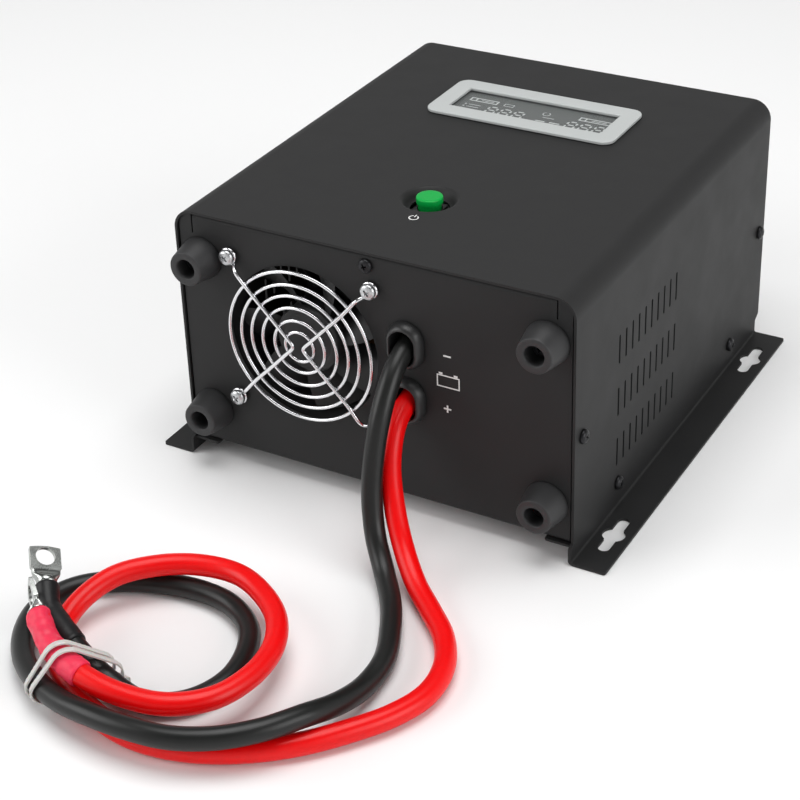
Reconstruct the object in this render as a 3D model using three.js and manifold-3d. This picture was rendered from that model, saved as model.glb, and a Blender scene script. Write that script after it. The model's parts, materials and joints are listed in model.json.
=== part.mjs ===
// Low-frequency power inverter lying on its back on two mounting flanges.
// Millimetres, +Z up. X runs across the case, Y from the fan end to the rear end.
// Inside the group, the fan end of the cover is at y = 0 and the flanges' underside at z = 0.
import * as THREE from 'three';
import { mergeVertices } from 'three/addons/utils/BufferGeometryUtils.js';
import Module from 'manifold-3d';

const wasm = await Module();
wasm.setup();

// ---- driving dimensions ----
const case_width = 195;
const case_depth = 223;
const top_z = 126.5;
const floor_z = 8.5;
const sheet = 1.2;
const corner_radius = 9.4;
const flange_reach = 16;
const flange_start = -3;
const flange_end = 219;
const fit_gap = 0.4;

const fan_size = 80;
const fan_pitch = 71.5;
const fan_depth = 25;
const fan_x = -33.5;
const fan_z = 73.5;

const foot_x = 84.5;
const foot_low_z = 26.5;
const foot_high_z = 104.5;
const foot_height = 13;

const cable_radius = 4.6;
const cable_x = 18.5;
const black_entry_z = 86.4;
const red_entry_z = 59.2;
const sleeve_radius = 5.5;
const sleeve_lengths = { black: 33, red: 36 };
const lug_necks = { black: 5.8, red: 2.6 };

const display_y = 161.5;
const button_y = 57;

const half_width = case_width / 2;
const wall_front = 0.8;
const wall_inner = wall_front + sheet;
const wall_rear = case_depth - 0.8;
const inside_top = top_z - sheet;
const chassis_half = half_width - sheet - fit_gap;
const floor_top = floor_z + sheet;
const rear_proud = 5.5;

// ---- materials: colour, roughness, metalness ----
const finishes = {
  black_paint: [0x3a3a3b, 0.5, 0.3],
  black_rubber: [0x1c1c1d, 0.85, 0],
  black_plastic: [0x141415, 0.45, 0],
  bright_zinc: [0xc9ccd0, 0.25, 1],
  black_zinc: [0x1a1b1d, 0.35, 0.8],
  tinned_copper: [0xc4c8cb, 0.3, 1],
  black_pvc: [0x1e1f20, 0.4, 0],
  red_pvc: [0xe00508, 0.4, 0],
  red_sleeve: [0xe8365a, 0.5, 0],
  clear_nylon: [0xd5d3cc, 0.4, 0],
  bezel_grey: [0xb8bbb9, 0.5, 0],
  window_clear: [0x70757a, 0.1, 0],
  display_grey: [0x5a5f5d, 0.3, 0],
  board_green: [0x1c5a36, 0.5, 0],
  button_green: [0x00a03c, 0.35, 0],
  copper_winding: [0x9a4f22, 0.4, 0.6],
  pad_fibre: [0x6f5b35, 0.8, 0],
  plain_steel: [0x9b9ea2, 0.4, 1],
  aluminium: [0xa9adb1, 0.4, 1],
  capacitor_blue: [0x20304f, 0.4, 0],
  brass: [0xb8923e, 0.35, 1],
  breaker_white: [0xd9d9d4, 0.5, 0],
};

// ---- making and placing pieces ----
const inverter = new THREE.Group();

function toSolid(geometry) {
  const plain = geometry.index ? geometry.toNonIndexed() : geometry.clone();
  plain.deleteAttribute('normal');
  plain.deleteAttribute('uv');
  const merged = mergeVertices(plain, 1e-3);
  return new wasm.Manifold(new wasm.Mesh({
    numProp: 3,
    vertProperties: Float32Array.from(merged.attributes.position.array),
    triVerts: Uint32Array.from(merged.index.array),
  }));
}

function toGeometry(solid) {
  const mesh = solid.getMesh();
  const geometry = new THREE.BufferGeometry();
  geometry.setAttribute('position', new THREE.BufferAttribute(Float32Array.from(mesh.vertProperties), 3));
  geometry.setIndex(new THREE.BufferAttribute(Uint32Array.from(mesh.triVerts), 1));
  return geometry;
}

function place(name, piece, finish) {
  const [color, roughness, metalness] = finishes[finish];
  const geometry = piece.isBufferGeometry ? piece : toGeometry(piece);
  const mesh = new THREE.Mesh(geometry, new THREE.MeshStandardMaterial({ color, roughness, metalness }));
  mesh.name = name;
  inverter.add(mesh);
  return mesh;
}

function join(solids) {
  return solids.reduce((whole, next) => whole.add(next));
}

function cut(solid, tools) {
  return tools.reduce((rest, tool) => rest.subtract(tool), solid);
}

// ---- shapes ----
function block(x0, x1, y0, y1, z0, z1) {
  const geometry = new THREE.BoxGeometry(x1 - x0, y1 - y0, z1 - z0);
  return toSolid(geometry.translate((x0 + x1) / 2, (y0 + y1) / 2, (z0 + z1) / 2));
}

// A round bar along Y or Z. With inscribe, the facets touch the radius from outside, as a bore's do.
function rod(axis, x, other, radius, from, to, sides = 12, inscribe = false) {
  const r = inscribe ? radius / Math.cos(Math.PI / sides) : radius;
  const geometry = new THREE.CylinderGeometry(r, r, to - from, sides);
  if (axis === 'y') {
    return toSolid(geometry.translate(0, (from + to) / 2, 0).translate(x, 0, other));
  }
  return toSolid(geometry.rotateX(Math.PI / 2).translate(x, other, (from + to) / 2));
}

// Makes a solid whose facets point outward, whichever way its profile ran.
function outward(geometry) {
  const solid = toSolid(geometry);
  if (solid.volume() > 0) return solid;
  const flipped = geometry.index ? geometry.toNonIndexed() : geometry.clone();
  const p = flipped.attributes.position;
  for (let i = 0; i < p.count; i += 3) {
    const [x, y, z] = [p.getX(i), p.getY(i), p.getZ(i)];
    p.setXYZ(i, p.getX(i + 1), p.getY(i + 1), p.getZ(i + 1));
    p.setXYZ(i + 1, x, y, z);
  }
  return toSolid(flipped);
}

// A profile of [radius, height] turned about Z, or about Y where along_y is set.
function turned(profile, sides, along_y = false) {
  const points = profile.map(([r, h]) => new THREE.Vector2(r, h));
  if (profile[0][0] > 0 || profile[profile.length - 1][0] > 0) points.push(points[0].clone());
  const geometry = new THREE.LatheGeometry(points, sides);
  return outward(along_y ? geometry : geometry.rotateX(Math.PI / 2));
}

// An outline in X and Z, pushed along Y.
function pushedY(shape, y0, y1, curveSegments = 4) {
  const geometry = new THREE.ExtrudeGeometry(shape, { depth: y1 - y0, bevelEnabled: false, curveSegments });
  return toSolid(geometry.rotateX(Math.PI / 2).translate(0, y1, 0));
}

// An outline in X and Y, pushed along Z.
function pushedZ(shape, z0, z1, curveSegments = 4) {
  const geometry = new THREE.ExtrudeGeometry(shape, { depth: z1 - z0, bevelEnabled: false, curveSegments });
  return toSolid(geometry.translate(0, 0, z0));
}

// An outline in Y and Z, pushed along X.
function pushedX(shape, x0, x1, curveSegments = 4) {
  const geometry = new THREE.ExtrudeGeometry(shape, { depth: x1 - x0, bevelEnabled: false, curveSegments });
  geometry.applyMatrix4(new THREE.Matrix4().makeBasis(
    new THREE.Vector3(0, 1, 0), new THREE.Vector3(0, 0, 1), new THREE.Vector3(1, 0, 0)));
  return toSolid(geometry.translate(x0, 0, 0));
}

function roundedRectangle(cx, cy, width, height, radius) {
  const shape = new THREE.Shape();
  const [x, y] = [width / 2, height / 2];
  shape.absarc(cx + x - radius, cy + y - radius, radius, 0, Math.PI / 2);
  shape.absarc(cx - x + radius, cy + y - radius, radius, Math.PI / 2, Math.PI);
  shape.absarc(cx - x + radius, cy - y + radius, radius, Math.PI, 1.5 * Math.PI);
  shape.absarc(cx + x - radius, cy - y + radius, radius, 1.5 * Math.PI, 2 * Math.PI);
  return shape;
}

// The outline of a folded sheet: corners are [x, y, bend radius] along its mid-line.
function foldedSheet(corners, thickness, facets = 3) {
  const line = [];
  corners.forEach(([x, y, radius], i) => {
    const here = new THREE.Vector2(x, y);
    const before = corners[i - 1] && new THREE.Vector2(...corners[i - 1].slice(0, 2)).sub(here).normalize();
    const after = corners[i + 1] && new THREE.Vector2(...corners[i + 1].slice(0, 2)).sub(here).normalize();
    if (!before || !after) {
      const along = before ? before.clone().negate() : after;
      line.push([here, new THREE.Vector2(-along.y, along.x)]);
      return;
    }
    const half = Math.acos(THREE.MathUtils.clamp(before.dot(after), -1, 1)) / 2;
    const centre = before.clone().add(after).normalize().multiplyScalar(radius / Math.sin(half)).add(here);
    const first = before.clone().multiplyScalar(radius / Math.tan(half)).add(here).sub(centre);
    const left_turn = before.x * after.y - before.y * after.x < 0;
    const sweep = (Math.PI - 2 * half) * (left_turn ? 1 : -1);
    for (let k = 0; k <= facets; k += 1) {
      const ray = first.clone().rotateAround(new THREE.Vector2(), (sweep * k) / facets);
      const normal = ray.clone().normalize().multiplyScalar(left_turn ? -1 : 1);
      line.push([ray.add(centre), normal]);
    }
  });
  const side = (sign) => line.map(([p, n]) => p.clone().addScaledVector(n, (sign * thickness) / 2));
  return new THREE.Shape([...side(1), ...side(-1).reverse()]);
}

// A closed skin through rings of points with equal counts; its two ends are capped by fans.
function loft(rings) {
  const count = rings[0].length;
  const vertices = rings.flat().flatMap((p) => [p.x, p.y, p.z]);
  const index = [];
  for (let k = 0; k + 1 < rings.length; k += 1) {
    for (let i = 0; i < count; i += 1) {
      const [a, b] = [k * count + i, k * count + ((i + 1) % count)];
      index.push(a, b, b + count, a, b + count, a + count);
    }
  }
  const last = (rings.length - 1) * count;
  for (let i = 1; i + 1 < count; i += 1) {
    index.push(0, i + 1, i, last, last + i, last + i + 1);
  }
  const geometry = new THREE.BufferGeometry();
  geometry.setAttribute('position', new THREE.Float32BufferAttribute(vertices, 3));
  geometry.setIndex(index);
  return outward(geometry);
}

// Pan-head screw along Y. Its head grows towards -Y from seat when inward is 1, or +Y when it is -1.
function screwProfile(head_radius, head_height, shank_radius, length) {
  return [[0, -head_height], [head_radius * 0.62, -head_height * 0.95], [head_radius, -head_height * 0.35],
    [head_radius, 0], [shank_radius, 0], [shank_radius, length], [0, length]];
}

// ---- cover: top, sides, mounting flanges ----
const vent_rows = [30, 55.6, 81.8];
const vent_columns = 10;
const vent_first_y = 44.3;
const vent_pitch = 6.95;
const vent_length = 14.4;
const vent_width = 1.7;
const side_screws = [[7.4, 59.4], [45.5, 13.4], [180.9, 13.4], [215.6, 59.4]];
const keyhole_ys = [24.5, 191.5];
const keyhole_offset = 8;
const dish_radius = 13.5;
const dish_depth = 4.3;
const dish_hole = 8.9;
const stud_places = [[-46, 52], [46, 52], [-46, 134], [46, 134]];
const display_board_z = 105.4;

function keyholeCutters(side) {
  const x = side * (half_width + keyhole_offset);
  return keyhole_ys.flatMap((y) => [
    rod('z', x, y, 5.2, -1, 3, 14),
    pushedZ(roundedRectangle(x, y, 5.4, 26.5, 2.6), -1, 3, 3),
  ]);
}

function ventCutters(side) {
  const cutters = [];
  for (const z of vent_rows) {
    for (let i = 0; i < vent_columns; i += 1) {
      const y = vent_first_y + i * vent_pitch;
      const [x0, x1] = side > 0 ? [half_width - 3, half_width + 1] : [-half_width - 1, -half_width + 3];
      cutters.push(block(x0, x1, y - vent_width / 2, y + vent_width / 2,
        z - vent_length / 2, z + vent_length / 2));
    }
  }
  return cutters;
}

function screwHoleX(side, y, z, radius, from, to) {
  const geometry = new THREE.CylinderGeometry(radius, radius, to - from, 8);
  geometry.rotateZ(Math.PI / 2).translate((side * (from + to)) / 2, y, z);
  return toSolid(geometry);
}

function buildCover() {
  const mid = half_width - sheet / 2;
  const roof = foldedSheet([
    [-mid, floor_z, 0], [-mid, top_z - sheet / 2, corner_radius - sheet / 2],
    [mid, top_z - sheet / 2, corner_radius - sheet / 2], [mid, floor_z, 0],
  ], sheet, 5);
  const skirt = (side) => pushedY(foldedSheet([
    [side * mid, floor_z + 1.5, 0], [side * mid, sheet / 2, 1.6],
    [side * (half_width + flange_reach), sheet / 2, 0],
  ], sheet, 3), flange_start, flange_end);
  const tab = (side, y0, y1) => block(
    side > 0 ? half_width - 14 : -half_width + 0.3, side > 0 ? half_width - 0.3 : -half_width + 14,
    y0, y1, floor_z - 1.5, floor_z - 0.3);
  const dish = turned([
    [dish_radius + 0.8, 0], [dish_radius, 0], [dish_radius - 1, -0.4],
    [dish_radius - 3.2, -dish_depth + 0.5],
    [dish_radius - 4, -dish_depth], [dish_hole, -dish_depth], [dish_hole, -dish_depth - 0.9],
    [dish_radius - 3.4, -dish_depth - 0.8], [dish_radius - 1.9, -dish_depth + 0.6], [dish_radius, -1.3],
    [dish_radius + 0.8, -sheet],
  ], 20).translate([0, button_y, top_z]);
  const studs = stud_places.map(([x, y]) => rod('z', x, y, 2.6, display_board_z + 1.9, inside_top + 0.3, 8));
  const lug = block(-9, 9, wall_inner + 0.5, wall_inner + 0.5 + sheet, top_z - 12, inside_top + 0.3);
  const whole = join([
    cut(pushedY(roof, 0, case_depth), [rod('z', 0, button_y, dish_radius + 0.3, top_z - 3, top_z + 1, 20)]),
    skirt(1), skirt(-1), dish, lug, ...studs,
    tab(1, -0.5, 13), tab(-1, -0.5, 13), tab(1, 200, 214), tab(-1, 200, 214),
  ]);
  const display_hole = pushedZ(roundedRectangle(0, display_y, 90, 34, 1), top_z - 3, top_z + 1, 1);
  const lug_hole = rod('y', 0, 120, 1.9, 1, 6, 10, true);
  const side_holes = [1, -1].flatMap((side) => side_screws.map(([y, z]) =>
    screwHoleX(side, y, z, 2.1, half_width - 2, half_width + 1)));
  return cut(whole, [display_hole, lug_hole, ...side_holes, ...keyholeCutters(1), ...keyholeCutters(-1),
    ...ventCutters(1), ...ventCutters(-1)]);
}

// ---- chassis: floor, front wall and rear wall ----
const tab_x = 88.4;
const slit_depth = 9.5;
const outlet_xs = [-62, -8];
const outlet_z = 67;
const outlet_cup = 21.4;
const inlet_x = 48;
const inlet_z = 88;
const breaker_x = 48;
const breaker_z = 42;
const board_posts = [[32, 46], [84, 46], [32, 196], [84, 196]];
const toroid_x = -37.5;
const toroid_y = 141;
const board_z = 19.5;

function stadium(cx, cz, radius, straight) {
  const shape = new THREE.Shape();
  shape.absarc(cx, cz + straight, radius, 0, Math.PI);
  shape.absarc(cx, cz - straight, radius, Math.PI, 2 * Math.PI);
  return shape;
}

const bushing_straight = 2.4;
const fan_opening = 37.4;

function buildChassis() {
  const y_front = wall_front + sheet / 2;
  const y_rear = wall_rear - sheet / 2;
  const z_top = inside_top - fit_gap - sheet / 2;
  const z_floor = floor_z + sheet / 2;
  const profile = foldedSheet([
    [y_front + 13, z_top, 0], [y_front, z_top, 1.4], [y_front, z_floor, 1.4],
    [y_rear, z_floor, 1.4], [y_rear, z_top, 1.4], [y_rear - 13, z_top, 0],
  ], sheet, 3);
  const cheek = (y0) => {
    const half = chassis_half - 0.2;
    const low = floor_z + 2.2;
    const high = inside_top - fit_gap;
    const r = corner_radius - sheet - fit_gap;
    const outline = new THREE.Shape();
    outline.moveTo(-half, low);
    outline.lineTo(half, low);
    outline.absarc(half - r, high - r, r, 0, Math.PI / 2);
    outline.absarc(-half + r, high - r, r, Math.PI / 2, Math.PI);
    const slit = (side) => block(side * tab_x + (side > 0 ? 0 : -0.6), side * tab_x + (side > 0 ? 0.6 : 0),
      y0 - 3, y0 + 4, high - slit_depth, high + 1);
    const centre = block(-tab_x, tab_x, y0 - 3, y0 + 4, high - 2.6, high + 1);
    return cut(pushedY(outline, y0, y0 + sheet, 3), [slit(1), slit(-1), centre]);
  };
  const ear = (side, y0, y1, z0, z1) => block(
    side > 0 ? chassis_half - sheet : -chassis_half,
    side > 0 ? chassis_half : -chassis_half + sheet, y0, y1, z0, z1);
  const ears = [1, -1].flatMap((side) => [
    ear(side, wall_front + 0.2, wall_front + 13, 28, inside_top - 20),
    ear(side, wall_rear - 13, wall_rear - 0.2, 28, inside_top - 20),
    ear(side, wall_front + 14, wall_rear - 14, floor_z + 0.2, floor_z + 12),
  ]);
  const floor_edges = block(-chassis_half + 0.4, chassis_half - 0.4, wall_front + 14, wall_rear - 14,
    floor_z, floor_top);
  const posts = board_posts.map(([x, y]) => rod('z', x, y, 3, floor_top - 0.3, board_z, 8));
  const whole = join([pushedX(profile, -tab_x, tab_x), cheek(wall_front), cheek(wall_rear - sheet),
    floor_edges, ...ears, ...posts]);

  const holes = [
    rod('y', fan_x, fan_z, fan_opening, -2, 6, 32),
    pushedY(stadium(cable_x, black_entry_z, 7.7, bushing_straight), -2, 6, 10),
    pushedY(stadium(cable_x, red_entry_z, 7.7, bushing_straight), -2, 6, 10),
    rod('y', 0, 120, 2, -2, 4, 10, true),
    block(-10, 10, wall_inner + 0.2, wall_inner + sheet + 0.9, top_z - 6, top_z),
    pushedY(roundedRectangle(inlet_x, inlet_z, 27.8, 20.4, 2), wall_rear - 4, wall_rear + 4, 2),
    rod('y', breaker_x, breaker_z, 6, wall_rear - 4, wall_rear + 4, 16, true),
    rod('z', toroid_x, toroid_y, 4.4, floor_z - 1, floor_top + 1, 12),
  ];
  for (const sx of [-1, 1]) {
    for (const sz of [-1, 1]) {
      holes.push(rod('y', fan_x + (sx * fan_pitch) / 2, fan_z + (sz * fan_pitch) / 2, 2.1, -2, 6, 10, true));
    }
    for (const z of [foot_low_z, foot_high_z]) holes.push(rod('y', sx * foot_x, z, 2.1, -2, 6, 10, true));
    for (const [y, z] of side_screws) {
      holes.push(screwHoleX(sx, y, z, 2, chassis_half - 3, chassis_half + 2));
    }
  }
  for (const x of outlet_xs) {
    holes.push(rod('y', x, outlet_z, outlet_cup + 0.4, wall_rear - 4, wall_rear + 4, 28, true));
  }
  return cut(whole, holes);
}

// ---- fan end: feet, fan, guard, bushings ----
function buildFeet() {
  let number = 0;
  for (const x of [-foot_x, foot_x]) {
    for (const z of [foot_low_z, foot_high_z]) {
      number += 1;
      const foot = turned([[2.3, 0], [10, 0], [9.7, -3], [8.1, -foot_height + 0.5], [7.8, -foot_height],
        [4.5, -foot_height], [4.5, -4.6], [2.3, -4.6]], 14, true);
      place(`rubber_foot_${number}`, foot.translate([x, wall_front - 0.3, z]), 'black_rubber');
      const screw = turned(screwProfile(3.9, 2.4, 1.9, 12), 8, true);
      place(`foot_screw_${number}`, screw.translate([x, wall_front - 5.2, z]), 'black_zinc');
    }
  }
}

const fan_front = wall_inner + 0.3;
const fan_back = fan_front + fan_depth;

function buildFanFrame() {
  const plate = (y0, y1) => pushedY(roundedRectangle(fan_x, fan_z, fan_size, fan_size, 5), y0, y1, 3);
  const duct = rod('y', fan_x, fan_z, 39.8, fan_front + 1, fan_back - 1, 28);
  const bore = rod('y', fan_x, fan_z, 38, fan_front - 1, fan_back - 3.5, 28);
  const exit = rod('y', fan_x, fan_z, 37.5, fan_back - 4, fan_back + 1, 28);
  const hub = rod('y', fan_x, fan_z, 17, fan_back - 3.2, fan_back, 20);
  const strut = (turn) => toSolid(new THREE.BoxGeometry(26, 3, 4).translate(27, 0, 0).rotateY(turn)
    .translate(fan_x, fan_back - 1.6, fan_z));
  const holes = [];
  for (const sx of [-1, 1]) {
    for (const sz of [-1, 1]) {
      holes.push(rod('y', fan_x + (sx * fan_pitch) / 2, fan_z + (sz * fan_pitch) / 2, 2.2, 0, 40, 10, true));
    }
  }
  const plates = [plate(fan_front, fan_front + 4), plate(fan_back - 4, fan_back)];
  const shell = cut(join([...plates, duct]), [bore, exit]);
  const struts = [0.6, 0.6 + Math.PI / 2, 0.6 + Math.PI, 0.6 + 1.5 * Math.PI].map(strut);
  return cut(join([shell, hub, ...struts]), holes);
}

// One blade: four-sided sections from the hub to the tip, pitched and swept.
function fanBlade(turn) {
  const rings = [];
  for (const [radius, start, span] of [[14.5, 0, 0.62], [26, 0.1, 0.6], [36.6, 0.26, 0.6]]) {
    const corner = (angle, y) => new THREE.Vector3(
      fan_x + radius * Math.cos(turn + angle), y, fan_z + radius * Math.sin(turn + angle));
    const [y0, y1] = [fan_front + 3.5, fan_front + 17.5];
    rings.push([corner(start, y0), corner(start + span, y1 - 1.3), corner(start + span, y1),
      corner(start, y0 + 1.6)]);
  }
  return loft(rings);
}

function buildFanRotor() {
  const hub = turned([[0, 1.2], [14.4, 1.2], [16, 2.6], [16, 20.5], [0, 20.5]], 24, true)
    .translate([fan_x, fan_front, fan_z]);
  const blades = Array.from({ length: 7 }, (_, i) => fanBlade((i * 2 * Math.PI) / 7));
  return join([hub, ...blades]);
}

const guard_rings = [36.3, 30.2, 24.8, 19, 12.8, 7.2];
const wire_radius = 0.85;

function wirePath(points, radius) {
  const curve = new THREE.CatmullRomCurve3(points.map(([x, y, z]) =>
    new THREE.Vector3(fan_x + x, y, fan_z + z)), false, 'catmullrom', 0.2);
  const section = new THREE.Shape(Array.from({ length: 5 }, (_, i) => new THREE.Vector2(
    radius * Math.cos((i * 2 * Math.PI) / 5), radius * Math.sin((i * 2 * Math.PI) / 5))));
  return toSolid(new THREE.ExtrudeGeometry(section, { steps: 24, extrudePath: curve, bevelEnabled: false }));
}

function wireRing(x, z, radius, y, thick, around) {
  const geometry = new THREE.TorusGeometry(radius, thick, 4, around);
  return toSolid(geometry.rotateX(Math.PI / 2).translate(fan_x + x, y, fan_z + z));
}

function buildFanGuard() {
  const rings_y = wall_front - 3.4;
  const stays_y = rings_y - 1.4;
  const eyes_y = wall_front - 1.4;
  const half = fan_pitch / 2;
  const [end, bend] = [half - 2.7, half - 5.6];
  const parts = guard_rings.map((radius) => (
    wireRing(0, 0, radius, rings_y, wire_radius, radius > 20 ? 26 : 18)));
  for (const side of [-1, 1]) {
    const stay = [[end, eyes_y, end], [bend, stays_y, bend], [18, stays_y, 17], [6, stays_y, 4.2],
      [2.7, stays_y, 0], [6, stays_y, -4.2], [18, stays_y, -17], [bend, stays_y, -bend],
      [end, eyes_y, -end]];
    parts.push(wirePath(stay.map(([x, y, z]) => [side * x, y, z]), 0.95));
    for (const up of [-1, 1]) parts.push(wireRing(side * half, up * half, 3.2, eyes_y, 0.95, 12));
  }
  return join(parts);
}

// A bushing: its section is swept round an upright oval.
function buildBushing(z) {
  const section = [
    [7.3, 11], [7.3, -0.3], [8.9, -0.3], [8.8, -1.5], [7.7, -4.2], [6.7, -5.1], [5.8, -4.5], [5.6, 11]];
  const directions = [];
  for (const [from, shift] of [[0, 1], [Math.PI, -1]]) {
    for (let i = 0; i <= 9; i += 1) directions.push([from + (i * Math.PI) / 9, shift * bushing_straight]);
  }
  const vertices = [];
  for (const [angle, shift] of directions) {
    for (const [radius, y] of section) {
      vertices.push(cable_x + radius * Math.cos(angle), wall_front + y,
        z + shift + radius * Math.sin(angle));
    }
  }
  const index = [];
  const [n, m] = [directions.length, section.length];
  for (let i = 0; i < n; i += 1) {
    for (let k = 0; k < m; k += 1) {
      const [a, b] = [i * m + k, i * m + ((k + 1) % m)];
      const [c, d] = [((i + 1) % n) * m + k, ((i + 1) % n) * m + ((k + 1) % m)];
      index.push(a, b, d, a, d, c);
    }
  }
  const geometry = new THREE.BufferGeometry();
  geometry.setAttribute('position', new THREE.Float32BufferAttribute(vertices, 3));
  geometry.setIndex(index);
  return outward(geometry);
}

// ---- battery cables: route points are the centre line, from the inner terminal to the lug ----
const black_route = [
  [18.5, 24, 89.5], [18.5, 6, 87], [18.5, -10, 80], [18.7, -22, 66.5], [19, -30, 50.5],
  [20.5, -36, 33.5], [25, -42, 17.5], [34, -51, 7.5], [45, -65, 4.8], [54, -81, 4.8],
  [61, -98, 4.8], [62.5, -115.5, 5.2], [61, -133, 9], [56, -150, 13.8], [47, -165, 15],
  [34, -176.5, 14.8], [18, -184, 14.6], [0, -186.5, 14.4], [-18, -185.5, 13], [-35, -182, 10.4],
  [-51.5, -175, 8.4], [-66.5, -164.5, 6.4], [-78, -150, 5.2], [-83, -133.5, 4.8], [-78, -117, 4.8],
  [-65, -105.5, 4.8], [-48, -98, 4.8], [-30.5, -94.5, 4.8], [-13, -96.5, 4.8], [2, -106, 4.8],
  [10.5, -121.5, 4.8], [12.5, -139, 4.8], [5.5, -155, 4.8], [-9, -163.5, 5.4], [-26, -162.5, 9.2],
  [-40, -158.6, 12.6], [-54, -153, 15.8], [-65.6, -146.8, 19], [-72.2, -139.4, 23.2],
];
const red_route = [
  [18.5, 24, 62], [18.5, 6, 60], [18.7, -10, 53.5], [22, -22, 41], [29, -32, 27], [38, -41, 14.5],
  [49.5, -51.5, 6.8], [63, -63, 4.8], [75.5, -75.5, 4.8], [84, -91, 4.8], [86, -108.5, 4.8],
  [80.5, -125, 4.8], [70.5, -140, 4.8], [58.5, -154, 4.8], [45, -165.5, 4.8], [29.5, -174.5, 4.8],
  [12.5, -180, 4.8], [-5, -181, 4.8], [-22.5, -177.5, 6.2], [-39, -170, 6.8], [-53, -159.5, 6],
  [-63.5, -145, 6.4], [-65.5, -128.5, 10], [-59.5, -112.5, 14], [-47.5, -99, 14.6],
  [-32, -90.5, 14.6], [-14, -88.5, 14.6], [2.5, -95, 14.6], [16.5, -106.5, 14.6],
  [25, -122.5, 14.6], [26.5, -140.5, 14.6], [21, -157.5, 14.6], [7.5, -169, 14.8],
  [-10.5, -173.5, 15.8], [-28.5, -173.4, 18], [-44, -169.2, 20.4], [-54.5, -163.4, 22.7],
  [-62, -157.4, 24.9],
];

class Stretch extends THREE.Curve {
  constructor(whole, from, to) {
    super();
    this.whole = whole;
    this.from = from;
    this.to = to;
  }

  getPoint(t, target = new THREE.Vector3()) {
    return target.copy(this.whole.getPointAt(this.from + (this.to - this.from) * t));
  }
}

function routeCurve(points) {
  const corners = points.map((p) => new THREE.Vector3(...p));
  const curve = new THREE.CatmullRomCurve3(corners, false, 'catmullrom', 0.5);
  curve.arcLengthDivisions = 1200;
  return curve;
}

function tubeAlong(curve, radius, sides, steps) {
  const section = new THREE.Shape(Array.from({ length: sides }, (_, i) => new THREE.Vector2(
    radius * Math.cos((i * 2 * Math.PI) / sides), radius * Math.sin((i * 2 * Math.PI) / sides))));
  return toSolid(new THREE.ExtrudeGeometry(section, { steps, extrudePath: curve, bevelEnabled: false }));
}

const lug_hole_radius = 4.1;
const palm_width = 13;
const palm_length = 13;
const palm_thickness = 1.8;
const palm_corner = 2.2;
const palm_arch = 1.4;

// The palm's outline: chamfered where it leaves the neck, slightly arched at its outer end.
function palmOutline(start) {
  const half = palm_width / 2;
  const square_end = start + palm_length - palm_arch;
  const outline = new THREE.Shape();
  outline.moveTo(start, palm_corner - half);
  outline.lineTo(start + palm_corner, -half);
  outline.lineTo(square_end, -half);
  outline.quadraticCurveTo(start + palm_length + palm_arch, 0, square_end, half);
  outline.lineTo(start + palm_corner, half);
  outline.lineTo(start, half - palm_corner);
  const hole_x = start + palm_length - palm_arch - lug_hole_radius;
  outline.holes.push(new THREE.Path().absarc(hole_x, 0, lug_hole_radius, 0, 2 * Math.PI, true));
  return outline;
}

// The lug runs along local +X from the sleeve's end; its palm is flat across local Z.
function buildLug(neck) {
  const circle = (x, r) => Array.from({ length: 12 }, (_, i) => new THREE.Vector3(
    x, r * Math.cos((i * Math.PI) / 6), r * Math.sin((i * Math.PI) / 6)));
  const flat = (x) => Array.from({ length: 12 }, (_, i) => new THREE.Vector3(
    x, (palm_width / 2 - 0.6) * Math.cos((i * Math.PI) / 6),
    THREE.MathUtils.clamp(4 * Math.sin((i * Math.PI) / 6), -palm_thickness / 2, palm_thickness / 2)));
  const barrel = loft([circle(0.4, 4.2), circle(0.4 * neck, 4.2), flat(neck), flat(neck + 1)]);
  return barrel.add(pushedZ(palmOutline(neck - 0.2), -palm_thickness / 2, palm_thickness / 2, 6));
}

function placeLug(name, curve, neck, normal) {
  const mesh = place(name, buildLug(neck), 'tinned_copper');
  const along = curve.getTangentAt(1);
  const across = normal.clone().cross(along).normalize();
  const up = along.clone().cross(across).normalize();
  mesh.quaternion.setFromRotationMatrix(new THREE.Matrix4().makeBasis(along, across, up));
  mesh.position.copy(curve.getPointAt(1));
}

function buildCable(colour, points, palm_normal) {
  const whole = routeCurve(points);
  const length = whole.getLength();
  const sleeve_length = sleeve_lengths[colour];
  const sleeve_start = 1 - sleeve_length / length;
  const cable = new Stretch(whole, 0, sleeve_start - 0.3 / length);
  place(`battery_cable_${colour}`, tubeAlong(cable, cable_radius, 8, 74), `${colour}_pvc`);
  const sleeve_middle = 1 - (sleeve_length * 0.42) / length;
  const thick = tubeAlong(new Stretch(whole, sleeve_start, sleeve_middle), sleeve_radius, 10, 5);
  const thin = tubeAlong(new Stretch(whole, sleeve_middle - 0.4 / length, 1), sleeve_radius - 0.6, 10, 4);
  place(`lug_sleeve_${colour}`, thick.add(thin), colour === 'red' ? 'red_sleeve' : 'black_pvc');
  placeLug(`ring_lug_${colour}`, whole, lug_necks[colour], palm_normal);
  return whole;
}

// ---- cable tie: one band round the four strands where they lie together ----
const tie_centre = new THREE.Vector3(-38, -169.5, 12);
const tie_normal = new THREE.Vector3(-0.75, 0.66, 0).normalize();
const tie_thickness = 1.2;
const tie_band = 2.6;
const lock_height = -7;

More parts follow.
